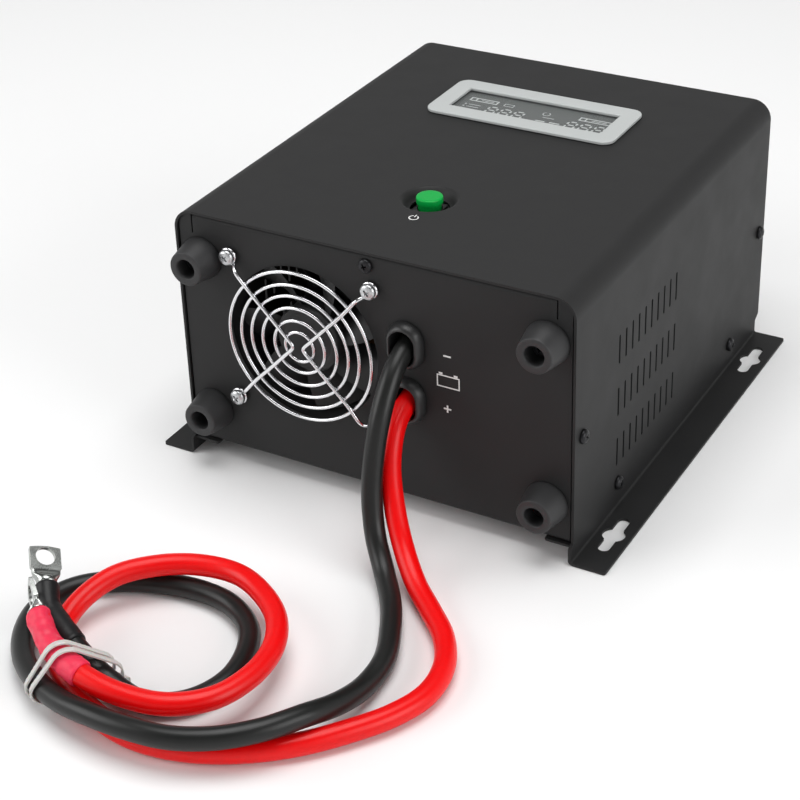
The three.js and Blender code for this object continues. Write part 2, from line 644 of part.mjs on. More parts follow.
function strandCrossings(curves, centre) {
  const side_axis = new THREE.Vector3(0, 0, 1).cross(tie_normal);
  const found = [];
  for (const curve of curves) {
    const samples = curve.getSpacedPoints(900);
    for (let i = 0; i + 1 < samples.length; i += 1) {
      const a = samples[i].clone().sub(centre);
      const b = samples[i + 1].clone().sub(centre);
      if (a.dot(tie_normal) * b.dot(tie_normal) > 0 || a.length() > 30) continue;
      const slant = Math.abs(b.clone().sub(a).normalize().dot(tie_normal));
      const sleeved = i / samples.length > 0.8;
      const radius = sleeved ? sleeve_radius : cable_radius;
      const room = sleeved ? 1.1 : 0.6;
      found.push({ across: a.dot(side_axis), up: a.z, width: radius / slant + 0.6, height: radius + room });
    }
  }
  return found;
}

function hullOf(circles, extra) {
  const sides = 16;
  const points = circles.flatMap(({ across, up, width, height }) => Array.from({ length: sides }, (_, i) => [
    across + (width + extra) * Math.cos((i * 2 * Math.PI) / sides),
    up + (height + extra) * Math.sin((i * 2 * Math.PI) / sides)]));
  points.sort((p, q) => p[0] - q[0] || p[1] - q[1]);
  const turn = (o, p, q) => (p[0] - o[0]) * (q[1] - o[1]) - (p[1] - o[1]) * (q[0] - o[0]);
  const chain = (list) => {
    const kept = [];
    for (const p of list) {
      while (kept.length > 1 && turn(kept[kept.length - 2], kept[kept.length - 1], p) <= 1e-6) kept.pop();
      kept.push(p);
    }
    return kept.slice(0, -1);
  };
  return [...chain(points), ...chain(points.slice().reverse())].map(([x, y]) => new THREE.Vector2(x, y));
}

// How far the outline reaches towards the coil's middle at one height.
function innerEdge(outline, height) {
  const reach = outline.map((p, i) => {
    const q = outline[(i + 1) % outline.length];
    if ((p.y - height) * (q.y - height) > 0 || p.y === q.y) return Infinity;
    return p.x + ((q.x - p.x) * (height - p.y)) / (q.y - p.y);
  });
  return Math.min(...reach);
}

// Two turns of one tie, joined by its lock low on the inner side of the coil.
function buildTie(curves) {
  const side_axis = new THREE.Vector3(0, 0, 1).cross(tie_normal);
  const upright = (centre) => new THREE.Matrix4()
    .makeBasis(side_axis, new THREE.Vector3(0, 0, 1), tie_normal.clone().negate()).setPosition(centre);
  const parts = [-2.2, 2.2].map((offset) => {
    const centre = tie_centre.clone().addScaledVector(tie_normal, offset);
    const circles = strandCrossings(curves, centre);
    const band = new THREE.Shape(hullOf(circles, tie_thickness));
    band.holes.push(new THREE.Path(hullOf(circles, 0)));
    const geometry = new THREE.ExtrudeGeometry(band, { depth: tie_band, bevelEnabled: false });
    return outward(geometry.translate(0, 0, -tie_band / 2).applyMatrix4(upright(centre)));
  });
  const lock_end = (offset) => {
    const centre = tie_centre.clone().addScaledVector(tie_normal, offset);
    const outline = hullOf(strandCrossings(curves, centre), 0);
    const edge = Math.min(...[-2, 0, 2].map((rise) => innerEdge(outline, lock_height + rise)));
    const corners = [
      [edge - 3.2, lock_height - 2], [edge - 0.1, lock_height - 2],
      [edge - 0.1, lock_height + 2], [edge - 3.2, lock_height + 2]];
    return corners.map(([x, y]) => new THREE.Vector3(x, y, 0).applyMatrix4(upright(centre)));
  };
  return join([...parts, loft([lock_end(-3.4), lock_end(3.4)])]);
}

// ---- top: display and push button ----
function buildDisplay() {
  const outer = pushedZ(roundedRectangle(0, display_y, 98, 42, 6), top_z + 0.3, top_z + 1.9, 4);
  const collar = pushedZ(roundedRectangle(0, display_y, 89.2, 33.2, 1), top_z - 2.6, top_z + 0.8, 1);
  const pocket = block(-42.3, 42.3, display_y - 13.8, display_y + 13.8, top_z - 3, top_z + 0.4);
  const view = block(-40, 40, display_y - 11.5, display_y + 11.5, top_z, top_z + 3);
  place('display_bezel', cut(outer.add(collar), [pocket, view]), 'bezel_grey');
  place('display_window', block(-42, 42, display_y - 13.5, display_y + 13.5, top_z - 1.4, top_z + 0.1),
    'window_clear');
  place('display_module', block(-42, 42, display_y - 13.5, display_y + 13.5,
    display_board_z + 1.9, top_z - 1.8), 'display_grey');
  const board = block(-52, 52, 42, 184, display_board_z, display_board_z + 1.6);
  place('display_board', board, 'board_green');
}

const switch_top = top_z - 4.3;

function buildPushButton() {
  const body = block(-8, 8, button_y - 8, button_y + 8, display_board_z + 1.9, top_z - dish_depth - 1.2);
  const collar = block(-6.1, 6.1, button_y - 6.1, button_y + 6.1, top_z - dish_depth - 2, switch_top);
  const bore = rod('z', 0, button_y, 5.5, display_board_z + 5, top_z, 16, true);
  place('switch_body', cut(body.add(collar), [bore]), 'black_plastic');
  const cap = turned([[0, -7], [5.2, -7], [5.2, -1.7], [6, -1.7], [6, 1], [5.5, 1.4], [0, 1.5]], 20);
  place('power_button', cap.translate([0, button_y, top_z]), 'button_green');
}

// ---- inside: transformer, boards ----
function buildTransformer() {
  const at = [toroid_x, toroid_y, 0];
  const base = floor_top + 0.3;
  place('transformer_pad', turned([[5, 0], [54, 0], [54, 2], [5, 2]], 24)
    .translate([at[0], at[1], base]), 'pad_fibre');
  const coil = turned([[26, 0], [48, 0], [54, 3.5], [56, 10], [56, 44], [54, 50.5], [48, 54], [26, 54],
    [21, 50], [19, 44], [19, 10], [21, 4]], 22);
  place('transformer_coil', coil.translate([at[0], at[1], base + 2.3]), 'copper_winding');
  const clamp_z = base + 56.6;
  place('transformer_clamp', turned([[4.6, -4], [12, -4], [17, 0], [32, 0], [32, 2], [16, 2], [11, -2],
    [4.6, -2]], 20).translate([at[0], at[1], clamp_z]), 'plain_steel');
  place('transformer_bolt', turned([[0, floor_z + 0.2], [4, floor_z + 0.2], [4, clamp_z - 1.7],
    [6.8, clamp_z - 1.7], [6.8, clamp_z + 4.2], [0, clamp_z + 4.2]], 12)
    .translate([at[0], at[1], 0]), 'bright_zinc');
}

function heatSink(x0, x1, y0, y1, z0, z1) {
  const fins = [block(x0, x1, y0, y1, z0, z0 + 5)];
  const count = 5;
  for (let i = 0; i < count; i += 1) {
    const x = x0 + (i * (x1 - x0 - 1.6)) / (count - 1);
    fins.push(block(x, x + 1.6, y0, y1, z0 + 4.5, z1));
  }
  return join(fins);
}

function buildBoards() {
  const top = board_z + 0.3 + 1.6;
  place('main_board', block(26, 92, 40, 202, board_z + 0.3, top), 'board_green');
  place('heat_sink_left', heatSink(28, 48, 56, 150, top + 0.3, 68), 'aluminium');
  place('heat_sink_right', heatSink(70, 90, 56, 150, top + 0.3, 68), 'aluminium');
  [82, 118].forEach((y, i) => {
    place(`capacitor_${i + 1}`, rod('z', 59, y, 9, top + 0.3, top + 36, 14), 'capacitor_blue');
  });
  place('relay', block(52, 68, 160, 188, top + 0.3, top + 20), 'black_plastic');
  place('terminal_board', block(8, 54, 33, 34.6, floor_top + 0.4, 106), 'board_green');
  place('battery_terminal_black', rod('y', cable_x, black_route[0][2], 6, 25, 32.7, 12), 'brass');
  place('battery_terminal_red', rod('y', cable_x, red_route[0][2], 6, 25, 32.7, 12), 'brass');
}

// ---- rear end: outlets, inlet, breaker ----
function buildRearEnd() {
  const face = wall_rear + 0.3;
  outlet_xs.forEach((x, i) => {
    const plate = pushedY(roundedRectangle(x, outlet_z, 48, 48, 5), face, face + 3, 3);
    const cup = rod('y', x, outlet_z, outlet_cup, face - 19, face + 1, 28);
    const recess = rod('y', x, outlet_z, 19.5, face - 15.5, face + 4, 28);
    const pins = [-9.5, 9.5].map((shift) => rod('y', x + shift, outlet_z, 2.6, face - 17.5, face - 10, 8));
    place(`ac_outlet_${i + 1}`, cut(plate.add(cup), [recess, ...pins]), 'black_plastic');
  });
  const flange = pushedY(roundedRectangle(inlet_x, inlet_z, 33, 26, 3), face, face + 2.6, 3);
  const shell = pushedY(roundedRectangle(inlet_x, inlet_z, 27.2, 19.8, 2), face - 16, face + 1, 2);
  const mouth = pushedY(roundedRectangle(inlet_x, inlet_z, 24, 16.4, 2.5), face - 13, face + 4, 2);
  place('ac_inlet', cut(flange.add(shell), [mouth]), 'black_plastic');
  const neck = rod('y', breaker_x, breaker_z, 5.8, face - 3, face + 2.4, 16);
  const box = block(breaker_x - 8, breaker_x + 8, face - 30, face - 2.2, breaker_z - 14, breaker_z + 14);
  const bore = rod('y', breaker_x, breaker_z, 3.7, face - 12, face + 4, 14, true);
  place('breaker_body', cut(neck.add(box), [bore]), 'black_plastic');
  const nut = turned([[0, 0], [8.6, 0], [8.6, 1.8], [0, 1.8]], 6, true)
    .translate([breaker_x, face, breaker_z]);
  const thread = rod('y', breaker_x, breaker_z, 6.1, face - 1, face + 3, 16, true);
  place('breaker_nut', nut.subtract(thread), 'plain_steel');
  const button = turned([[0, -8], [3.3, -8], [3.3, rear_proud - 1.4], [2.8, rear_proud - 0.3 - 0.8],
    [0, rear_proud - 1.1]], 14, true);
  place('breaker_button', button.translate([breaker_x, wall_rear + 1.9, breaker_z]), 'breaker_white');
}

// ---- fasteners ----
function buildScrews() {
  let number = 0;
  for (const sx of [-1, 1]) {
    for (const sz of [-1, 1]) {
      number += 1;
      const screw = turned(screwProfile(3.7, 2.3, 1.85, 15), 10, true);
      place(`guard_screw_${number}`, screw.translate([fan_x + (sx * fan_pitch) / 2, wall_front - 2.7,
        fan_z + (sz * fan_pitch) / 2]), 'bright_zinc');
    }
  }
  place('panel_screw', turned(screwProfile(3.3, 2.1, 1.7, 7), 8, true)
    .translate([0, wall_front - 0.3, 120]), 'black_zinc');
  number = 0;
  for (const side of [-1, 1]) {
    for (const [y, z] of side_screws) {
      number += 1;
      const geometry = new THREE.LatheGeometry(screwProfile(3.3, 2.1, 1.7, 5)
        .map(([r, h]) => new THREE.Vector2(r, h)), 8);
      geometry.rotateZ(side > 0 ? Math.PI / 2 : -Math.PI / 2);
      geometry.translate(side * (half_width + 0.3), y, z);
      place(`cover_screw_${number}`, outward(geometry), 'black_zinc');
    }
  }
}

place('case_cover', buildCover(), 'black_paint');
place('chassis', buildChassis(), 'black_paint');
buildFeet();
place('fan_frame', buildFanFrame(), 'black_plastic');
place('fan_rotor', buildFanRotor(), 'black_plastic');
place('fan_guard', buildFanGuard(), 'bright_zinc');
place('bushing_black', buildBushing(black_entry_z), 'black_plastic');
place('bushing_red', buildBushing(red_entry_z), 'black_plastic');
const black_line = buildCable('black', black_route, new THREE.Vector3(0.544, -0.064, 0.84));
const red_line = buildCable('red', red_route, new THREE.Vector3(0.629, 0.767, -0.087));
place('cable_tie', buildTie([black_line, red_line]), 'clear_nylon');
buildDisplay();
buildPushButton();
buildTransformer();
buildBoards();
buildRearEnd();
buildScrews();

// The case, without the cables, is centred over the origin.
inverter.position.y = -(case_depth - 0.8 + 1.9 + rear_proud - 1.1 - foot_height + 0.5) / 2;

export default inverter;
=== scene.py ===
"""Looks of a power inverter in a folded steel case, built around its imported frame.

Lengths in this file are millimetres unless a name says otherwise. The case's own coordinates are
used throughout: x across the case from its middle, y back from the cover's front edge and z up
from the flanges' underside. at() turns them into the frame's metres.
"""
import json
import math
import random

import bmesh
import bpy
from mathutils import Matrix, Vector, noise


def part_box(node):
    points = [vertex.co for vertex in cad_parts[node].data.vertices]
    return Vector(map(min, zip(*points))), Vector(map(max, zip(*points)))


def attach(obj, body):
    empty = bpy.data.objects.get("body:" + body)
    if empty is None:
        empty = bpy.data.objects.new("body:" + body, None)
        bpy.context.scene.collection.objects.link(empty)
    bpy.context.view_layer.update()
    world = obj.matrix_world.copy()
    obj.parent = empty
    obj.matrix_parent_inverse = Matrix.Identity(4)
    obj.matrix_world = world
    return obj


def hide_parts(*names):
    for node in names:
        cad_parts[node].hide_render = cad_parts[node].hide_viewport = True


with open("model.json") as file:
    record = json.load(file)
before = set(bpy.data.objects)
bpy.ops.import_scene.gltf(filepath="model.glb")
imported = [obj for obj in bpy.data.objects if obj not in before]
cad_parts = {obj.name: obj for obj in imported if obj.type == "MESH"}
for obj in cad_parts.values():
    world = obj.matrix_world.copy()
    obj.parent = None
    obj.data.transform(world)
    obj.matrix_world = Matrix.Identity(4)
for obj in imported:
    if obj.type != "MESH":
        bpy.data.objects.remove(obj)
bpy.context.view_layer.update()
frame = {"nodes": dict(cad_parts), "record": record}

MM = 0.001
FLANGE_START = -3.0
SHIFT_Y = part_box("case_cover")[0].y / MM - FLANGE_START
TAU = 2 * math.pi

# ---- sizes ----
HALF_WIDTH = 97.5
DEPTH = 223.0
TOP = 126.5
FLOOR = 8.5
SHEET = 1.2
CORNER = 9.4
FLANGE_REACH = 16.0
FLANGE_END = 219.0
WALL_FRONT = 0.8
WALL_REAR = DEPTH - 0.8
INSIDE_TOP = TOP - SHEET
FAN_X, FAN_Z, FAN_PITCH = -33.5, 73.5, 71.5
FAN_FRONT = WALL_FRONT + SHEET + 0.3
FOOT_X, FOOT_ZS = 84.5, (26.5, 104.5)
FAN_OPENING, BUSHING_HOLE = 37.4, 7.6
CABLE_X, CABLE_R = 18.5, 4.6
DRAWN_CABLE_R = CABLE_R - 0.02  # keeps the drawn cable inside the CAD cable's box
BLACK_Z, RED_Z = 86.4, 59.2
BUTTON_Y, DISPLAY_Y = 57.0, 161.5
PALM_WIDTH, PALM_LENGTH, PALM_THICK = 13.0, 13.0, 1.8
BUSHING_STRAIGHT = 2.4
SIDE_SCREWS = ((7.4, 59.4), (45.5, 13.4), (180.9, 13.4), (215.6, 59.4))
OUTLET_XS, OUTLET_Z = (-62.0, -8.0), 67.0
INLET_X, INLET_Z = 48.0, 88.0
BREAKER_X, BREAKER_Z = 48.0, 42.0

BLACK_ROUTE = [
    (18.5, 24, 89.5), (18.5, 6, 87), (18.5, -10, 80), (18.7, -22, 66.5), (19, -30, 50.5), (20.5, -36, 33.5),
    (25, -42, 17.5), (34, -51, 7.5), (45, -65, 4.8), (54, -81, 4.8), (61, -98, 4.8), (62.5, -115.5, 5.2),
    (61, -133, 9), (56, -150, 13.8), (47, -165, 15), (34, -176.5, 14.8), (18, -184, 14.6),
    (0, -186.5, 14.4), (-18, -185.5, 13), (-35, -182, 10.4), (-51.5, -175, 8.4), (-66.5, -164.5, 6.4),
    (-78, -150, 5.2), (-83, -133.5, 4.8), (-78, -117, 4.8), (-65, -105.5, 4.8), (-48, -98, 4.8),
    (-30.5, -94.5, 4.8), (-13, -96.5, 4.8), (2, -106, 4.8), (10.5, -121.5, 4.8), (12.5, -139, 4.8),
    (5.5, -155, 4.8), (-9, -163.5, 5.4), (-26, -162.5, 9.2), (-40, -158.6, 12.6), (-54, -153, 15.8),
    (-65.6, -146.8, 19), (-72.2, -139.4, 23.2),
]
RED_ROUTE = [
    (18.5, 24, 62), (18.5, 6, 60), (18.7, -10, 53.5), (22, -22, 41), (29, -32, 27), (38, -41, 14.5),
    (49.5, -51.5, 6.8), (63, -63, 4.8), (75.5, -75.5, 4.8), (84, -91, 4.8), (86, -108.5, 4.8),
    (80.5, -125, 4.8), (70.5, -140, 4.8), (58.5, -154, 4.8), (45, -165.5, 4.8), (29.5, -174.5, 4.8),
    (12.5, -180, 4.8), (-5, -181, 4.8), (-22.5, -177.5, 6.2), (-39, -170, 6.8), (-53, -159.5, 6),
    (-63.5, -145, 6.4), (-65.5, -128.5, 10), (-59.5, -112.5, 14), (-47.5, -99, 14.6), (-32, -90.5, 14.6),
    (-14, -88.5, 14.6), (2.5, -95, 14.6), (16.5, -106.5, 14.6), (25, -122.5, 14.6), (26.5, -140.5, 14.6),
    (21, -157.5, 14.6), (7.5, -169, 14.8), (-10.5, -173.5, 15.8), (-28.5, -173.4, 18), (-44, -169.2, 20.4),
    (-54.5, -163.4, 22.7), (-62, -157.4, 24.9),
]


def at(x, y, z):
    """A point in case millimetres, in the frame's metres."""
    return Vector((x, y + SHIFT_Y, z)) * MM


def linked(name, data):
    obj = bpy.data.objects.new(name, data)
    bpy.context.scene.collection.objects.link(obj)
    return obj


# ---- camera ----
camera_data = bpy.data.cameras.new("camera")
camera_data.sensor_width = 36.0
camera_data.lens = 87.33
camera_data.shift_y = -0.125
camera_data.clip_start = 0.05
camera_data.clip_end = 20.0
camera = linked("camera", camera_data)
right = Vector((0.871000, 0.490343, -0.030374))
up = Vector((-0.212434, 0.431652, 0.876669))
ahead = Vector((-0.442979, 0.757126, -0.480135))
camera.matrix_world = Matrix((
    (right.x, up.x, -ahead.x, 0), (right.y, up.y, -ahead.y, 0), (right.z, up.z, -ahead.z, 0), (0, 0, 0, 1),
))
camera.location = at(375.95, -614.41, 497.37)
bpy.context.scene.camera = camera


# ---- materials ----
NOISE_LOW, NOISE_HIGH = 0.3, 0.7  # what a noise texture mostly stays between
COAT_ROUGHNESS, SUBSURFACE_SCALE, STRIPE_DISTORTION = 0.12, 0.002, 0.6


def finish(name, color, roughness, metallic=0.0, spread=0.12, grain=(400.0, 0.02), mottle=60.0,
           rough_spread=0.06, coat=0.0, specular=0.5, transmission=0.0, subsurface=0.0, stripes=None,
           alpha=1.0):
    """A procedural finish: colour and roughness drift with two sizes of noise, and grain is bump.

    grain is (noise scale per metre, bump distance in mm); stripes adds (axis, per metre, depth in mm).
    """
    material = bpy.data.materials.new(name)
    material.use_nodes = True
    tree = material.node_tree
    shader = tree.nodes["Principled BSDF"]

    def fill(node, **values):
        for key, value in values.items():
            node.inputs[key.replace("_", " ")].default_value = value
        return node

    def add(kind, **values):
        return fill(tree.nodes.new("ShaderNode" + kind), **values)

    def link(source, output, target, socket):
        tree.links.new(source.outputs[output], target.inputs[socket])

    coords = add("TexCoord")
    broad, fine = add("TexNoise", Scale=mottle, Detail=3.0), add("TexNoise", Scale=grain[0], Detail=2.0)
    blend, ramp = add("Mix", Factor=0.5), add("ValToRGB")
    for texture, socket in ((broad, "A"), (fine, "B")):
        link(coords, "Object", texture, "Vector")
        link(texture, "Fac", blend, socket)
    for stop, position, gain in ((0, NOISE_LOW, 1 - spread), (1, NOISE_HIGH, 1 + spread)):
        ramp.color_ramp.elements[stop].position = position
        ramp.color_ramp.elements[stop].color = [min(1.0, c * gain) for c in color] + [1.0]
    link(blend, "Result", ramp, "Fac")
    link(ramp, "Color", shader, "Base Color")
    wear = add("MapRange", From_Min=NOISE_LOW, From_Max=NOISE_HIGH,
               To_Min=max(0.02, roughness - rough_spread), To_Max=min(1.0, roughness + rough_spread))
    link(broad, "Fac", wear, "Value")
    link(wear, "Result", shader, "Roughness")
    bump = add("Bump", Strength=1.0, Distance=grain[1] * MM)
    link(fine, "Fac", bump, "Height")
    if stripes:
        axis, scale, depth = stripes
        wave = add("TexWave", Scale=scale, Distortion=STRIPE_DISTORTION)
        wave.bands_direction = axis
        link(coords, "Object", wave, "Vector")
        grain_bump, bump = bump, add("Bump", Strength=1.0, Distance=depth * MM)
        link(wave, "Fac", bump, "Height")
        link(grain_bump, "Normal", bump, "Normal")
    link(bump, "Normal", shader, "Normal")
    fill(shader, Metallic=metallic, Coat_Weight=coat, Coat_Roughness=COAT_ROUGHNESS,
         Specular_IOR_Level=specular, Transmission_Weight=transmission, Subsurface_Weight=subsurface,
         Subsurface_Scale=SUBSURFACE_SCALE, Alpha=alpha)
    return material


FINISHES = {}
for name, color, roughness, options in (
    ("case_paint", (0.0185, 0.0185, 0.0188), 0.54, dict(specular=0.24, spread=0.10, grain=(2600.0, 0.012),
                                                        mottle=45.0, rough_spread=0.04)),
    ("foot_rubber", (0.020, 0.020, 0.021), 0.55, dict(grain=(1500.0, 0.02))),
    ("black_screws", (0.022, 0.022, 0.024), 0.34, dict(metallic=0.7, grain=(1200.0, 0.006))),
    ("fan_plastic", (0.020, 0.020, 0.0205), 0.45, dict(grain=(900.0, 0.01))),
    ("bright_wire", (0.80, 0.80, 0.82), 0.17, dict(metallic=1.0, spread=0.05, grain=(900.0, 0.004),
                                                   rough_spread=0.06)),
    ("bright_screws", (0.56, 0.57, 0.58), 0.34, dict(metallic=1.0, spread=0.10, grain=(1200.0, 0.006))),
    ("bushing_plastic", (0.016, 0.016, 0.0165), 0.38, dict(grain=(800.0, 0.004))),
    ("cable_black", (0.010, 0.0105, 0.010), 0.36, dict(specular=0.35, grain=(500.0, 0.02), mottle=30.0)),
    ("cable_red", (0.80, 0.0012, 0.0020), 0.34, dict(specular=0.3, spread=0.05, grain=(500.0, 0.02),
                                                     mottle=30.0, subsurface=0.05)),
    ("sleeve_black", (0.008, 0.008, 0.0085), 0.44, dict(specular=0.3, grain=(700.0, 0.03))),
    ("sleeve_red", (0.80, 0.030, 0.080), 0.46, dict(specular=0.35, spread=0.08, grain=(500.0, 0.04),
                                                    mottle=90.0, subsurface=0.08)),
    ("tinned_lug", (0.40, 0.415, 0.40), 0.26, dict(metallic=1.0, spread=0.12, grain=(420.0, 0.008),
                                                   rough_spread=0.08)),
    ("tie_nylon", (0.74, 0.73, 0.70), 0.38, dict(spread=0.06, transmission=0.25, subsurface=0.2)),
    ("bezel_grey", (0.47, 0.49, 0.485), 0.44, dict(spread=0.03, grain=(1800.0, 0.01))),
    ("window_clear", (0.30, 0.32, 0.32), 0.10, dict(spread=0.04, grain=(40.0, 0.0002), rough_spread=0.02,
                                                    alpha=0.10)),
    ("display_grey", (0.098, 0.104, 0.102), 0.42, dict(spread=0.03, grain=(900.0, 0.0005), specular=0.2)),
    ("board_green", (0.02, 0.10, 0.045), 0.38, dict(spread=0.2, grain=(600.0, 0.02), coat=0.3)),
    ("black_plastic", (0.013, 0.013, 0.014), 0.38, dict(grain=(1000.0, 0.012))),
    ("button_green", (0.0, 0.36, 0.055), 0.40, dict(spread=0.05, specular=0.25, grain=(700.0, 0.004))),
    ("pad_fibre", (0.16, 0.11, 0.05), 0.8, dict(grain=(700.0, 0.05))),
    ("winding_tape", (0.33, 0.13, 0.03), 0.34, dict(metallic=0.5, spread=0.25, grain=(300.0, 0.05),
                                                    stripes=("X", 250.0, 0.25))),
    ("plain_steel", (0.42, 0.43, 0.44), 0.34, dict(metallic=1.0)),
    ("heat_sink", (0.48, 0.50, 0.52), 0.36, dict(metallic=1.0, stripes=("Z", 400.0, 0.02))),
    ("capacitor_sleeve", (0.02, 0.03, 0.09), 0.32, dict()),
    ("brass", (0.60, 0.40, 0.12), 0.26, dict(metallic=1.0)),
    ("breaker_white", (0.66, 0.66, 0.63), 0.4, dict(spread=0.04)),
    ("print_white", (0.72, 0.72, 0.71), 0.5, dict(spread=0.05)),
    ("segments", (0.60, 0.63, 0.62), 0.4, dict(spread=0.05)),
    ("contact", (0.55, 0.42, 0.20), 0.28, dict(metallic=1.0)),
):
    FINISHES[name] = finish(name, color, roughness, **options)


# ---- placing pieces ----
def dress(obj, slot_name, look=None, body="case", nodes=()):
    obj.data.materials.clear()
    obj.data.materials.append(FINISHES[look or slot_name])
    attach(obj, body)
    if nodes:
        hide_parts(*nodes)
    return obj


def smooth(mesh, angle=32.0):
    mesh.shade_smooth()
    mesh.set_sharp_from_angle(angle=math.radians(angle))


def piece(name, vertices, faces, slot_name, look=None, body="case", nodes=(), angle=32.0):
    """A mesh from points in case millimetres; its outward side is found."""
    mesh = bpy.data.meshes.new(name)
    mesh.from_pydata([at(*v) for v in vertices], [], faces)
    bm = bmesh.new()
    bm.from_mesh(mesh)
    bmesh.ops.remove_doubles(bm, verts=bm.verts, dist=0.002 * MM)
    bmesh.ops.recalc_face_normals(bm, faces=bm.faces)
    bm.to_mesh(mesh)
    bm.free()
    smooth(mesh, angle)
    return dress(linked(name, mesh), slot_name, look, body, nodes)


# ---- outlines, all lists of (a, b) ----
def circle(cx, cy, radius, count=48):
    return [(cx + radius * math.cos(i * TAU / count), cy + radius * math.sin(i * TAU / count))
            for i in range(count)]


def rounded(cx, cy, width, height, radius, count=6):
    points = []
    for quarter, (sx, sy) in enumerate(((1, 1), (-1, 1), (-1, -1), (1, -1))):
        ox, oy = cx + sx * (width / 2 - radius), cy + sy * (height / 2 - radius)
        for i in range(count + 1):
            turn = (quarter + i / count) * math.pi / 2
            points.append((ox + radius * math.cos(turn), oy + radius * math.sin(turn)))
    return points


def keyhole(cx, cy, wide, narrow, length, count=12):
    """A slot with a round middle, along the second coordinate."""
    r = narrow / 2
    rise = math.sqrt(wide ** 2 - r ** 2)
    start = math.atan2(-rise, r)
    points = []
    for i in range(count + 1):
        turn = start + (i / count) * (math.atan2(rise, r) - start)
        points.append((cx + wide * math.cos(turn), cy + wide * math.sin(turn)))
    for i in range(count + 1):
        turn = i * math.pi / count
        points.append((cx + r * math.cos(turn), cy + length / 2 - r + r * math.sin(turn)))
    mirrored = [(2 * cx - x, 2 * cy - y) for x, y in points]
    return points + mirrored


def arc_points(cx, cy, radius, first, last, count):
    return [(cx + radius * math.cos(first + (last - first) * i / count),
             cy + radius * math.sin(first + (last - first) * i / count)) for i in range(count + 1)]


# ---- folded sheet ----
class Fold:
    """A sheet's mid-line with bends: corners are (a, b, bend radius)."""

    def __init__(self, corners, facets=12):
        self.parts = []
        self.cuts = []
        length = 0.0
        here = Vector(corners[0][:2])
        for i in range(1, len(corners)):
            target = Vector(corners[i][:2])
            if i + 1 == len(corners):
                self.parts.append(("line", length, (target - here).length, here, target))
                length += (target - here).length
                break
            before = (target - Vector(corners[i - 1][:2])).normalized()
            after = (Vector(corners[i + 1][:2]) - target).normalized()
            turn = math.atan2(before.x * after.y - before.y * after.x, before.dot(after))
            radius = corners[i][2]
            trim = radius * math.tan(abs(turn) / 2)
            end = target - before * trim
            self.parts.append(("line", length, (end - here).length, here, end))
            length += (end - here).length
            side = Vector((-before.y, before.x)) * math.copysign(1.0, turn)
            self.parts.append(("arc", length, radius * abs(turn), end + side * radius, turn, end))
            self.cuts += [length + radius * abs(turn) * k / facets for k in range(facets + 1)]
            length += radius * abs(turn)
            here = target + after * trim
        self.length = length

    def point(self, s):
        for part in self.parts:
            if s <= part[1] + part[2] or part is self.parts[-1]:
                share = (s - part[1]) / part[2]
                if part[0] == "line":
                    return part[3].lerp(part[4], share)
                offset = part[5] - part[3]
                offset.rotate(Matrix.Rotation(part[4] * share, 2))
                return part[3] + offset

    def locate(self, a, b):
        """How far along the mid-line its straight stretches pass nearest to a point."""
        best = (1e9, 0.0)
        for part in self.parts:
            if part[0] == "line":
                run = part[4] - part[3]
                share = min(1.0, max(0.0, (Vector((a, b)) - part[3]).dot(run) / run.length_squared))
                gap = (Vector((a, b)) - part[3].lerp(part[4], share)).length
                best = min(best, (gap, part[1] + share * part[2]))
        return best[1]


def flat_fill(loops):
    """A flat mesh, in millimetres, between an outline and its holes."""
    curve = bpy.data.curves.new("flat", "CURVE")
    curve.dimensions = "2D"
    curve.fill_mode = "BOTH"
    for loop in loops:
        spline = curve.splines.new("POLY")
        spline.points.add(len(loop) - 1)
        for point, (a, b) in zip(spline.points, loop):
            point.co = (a, b, 0.0, 1.0)
        spline.use_cyclic_u = True
    holder = linked("flat", curve)
    graph = bpy.context.evaluated_depsgraph_get()
    mesh = bpy.data.meshes.new_from_object(holder.evaluated_get(graph))
    bpy.data.objects.remove(holder)
    bpy.data.curves.remove(curve)
    return mesh


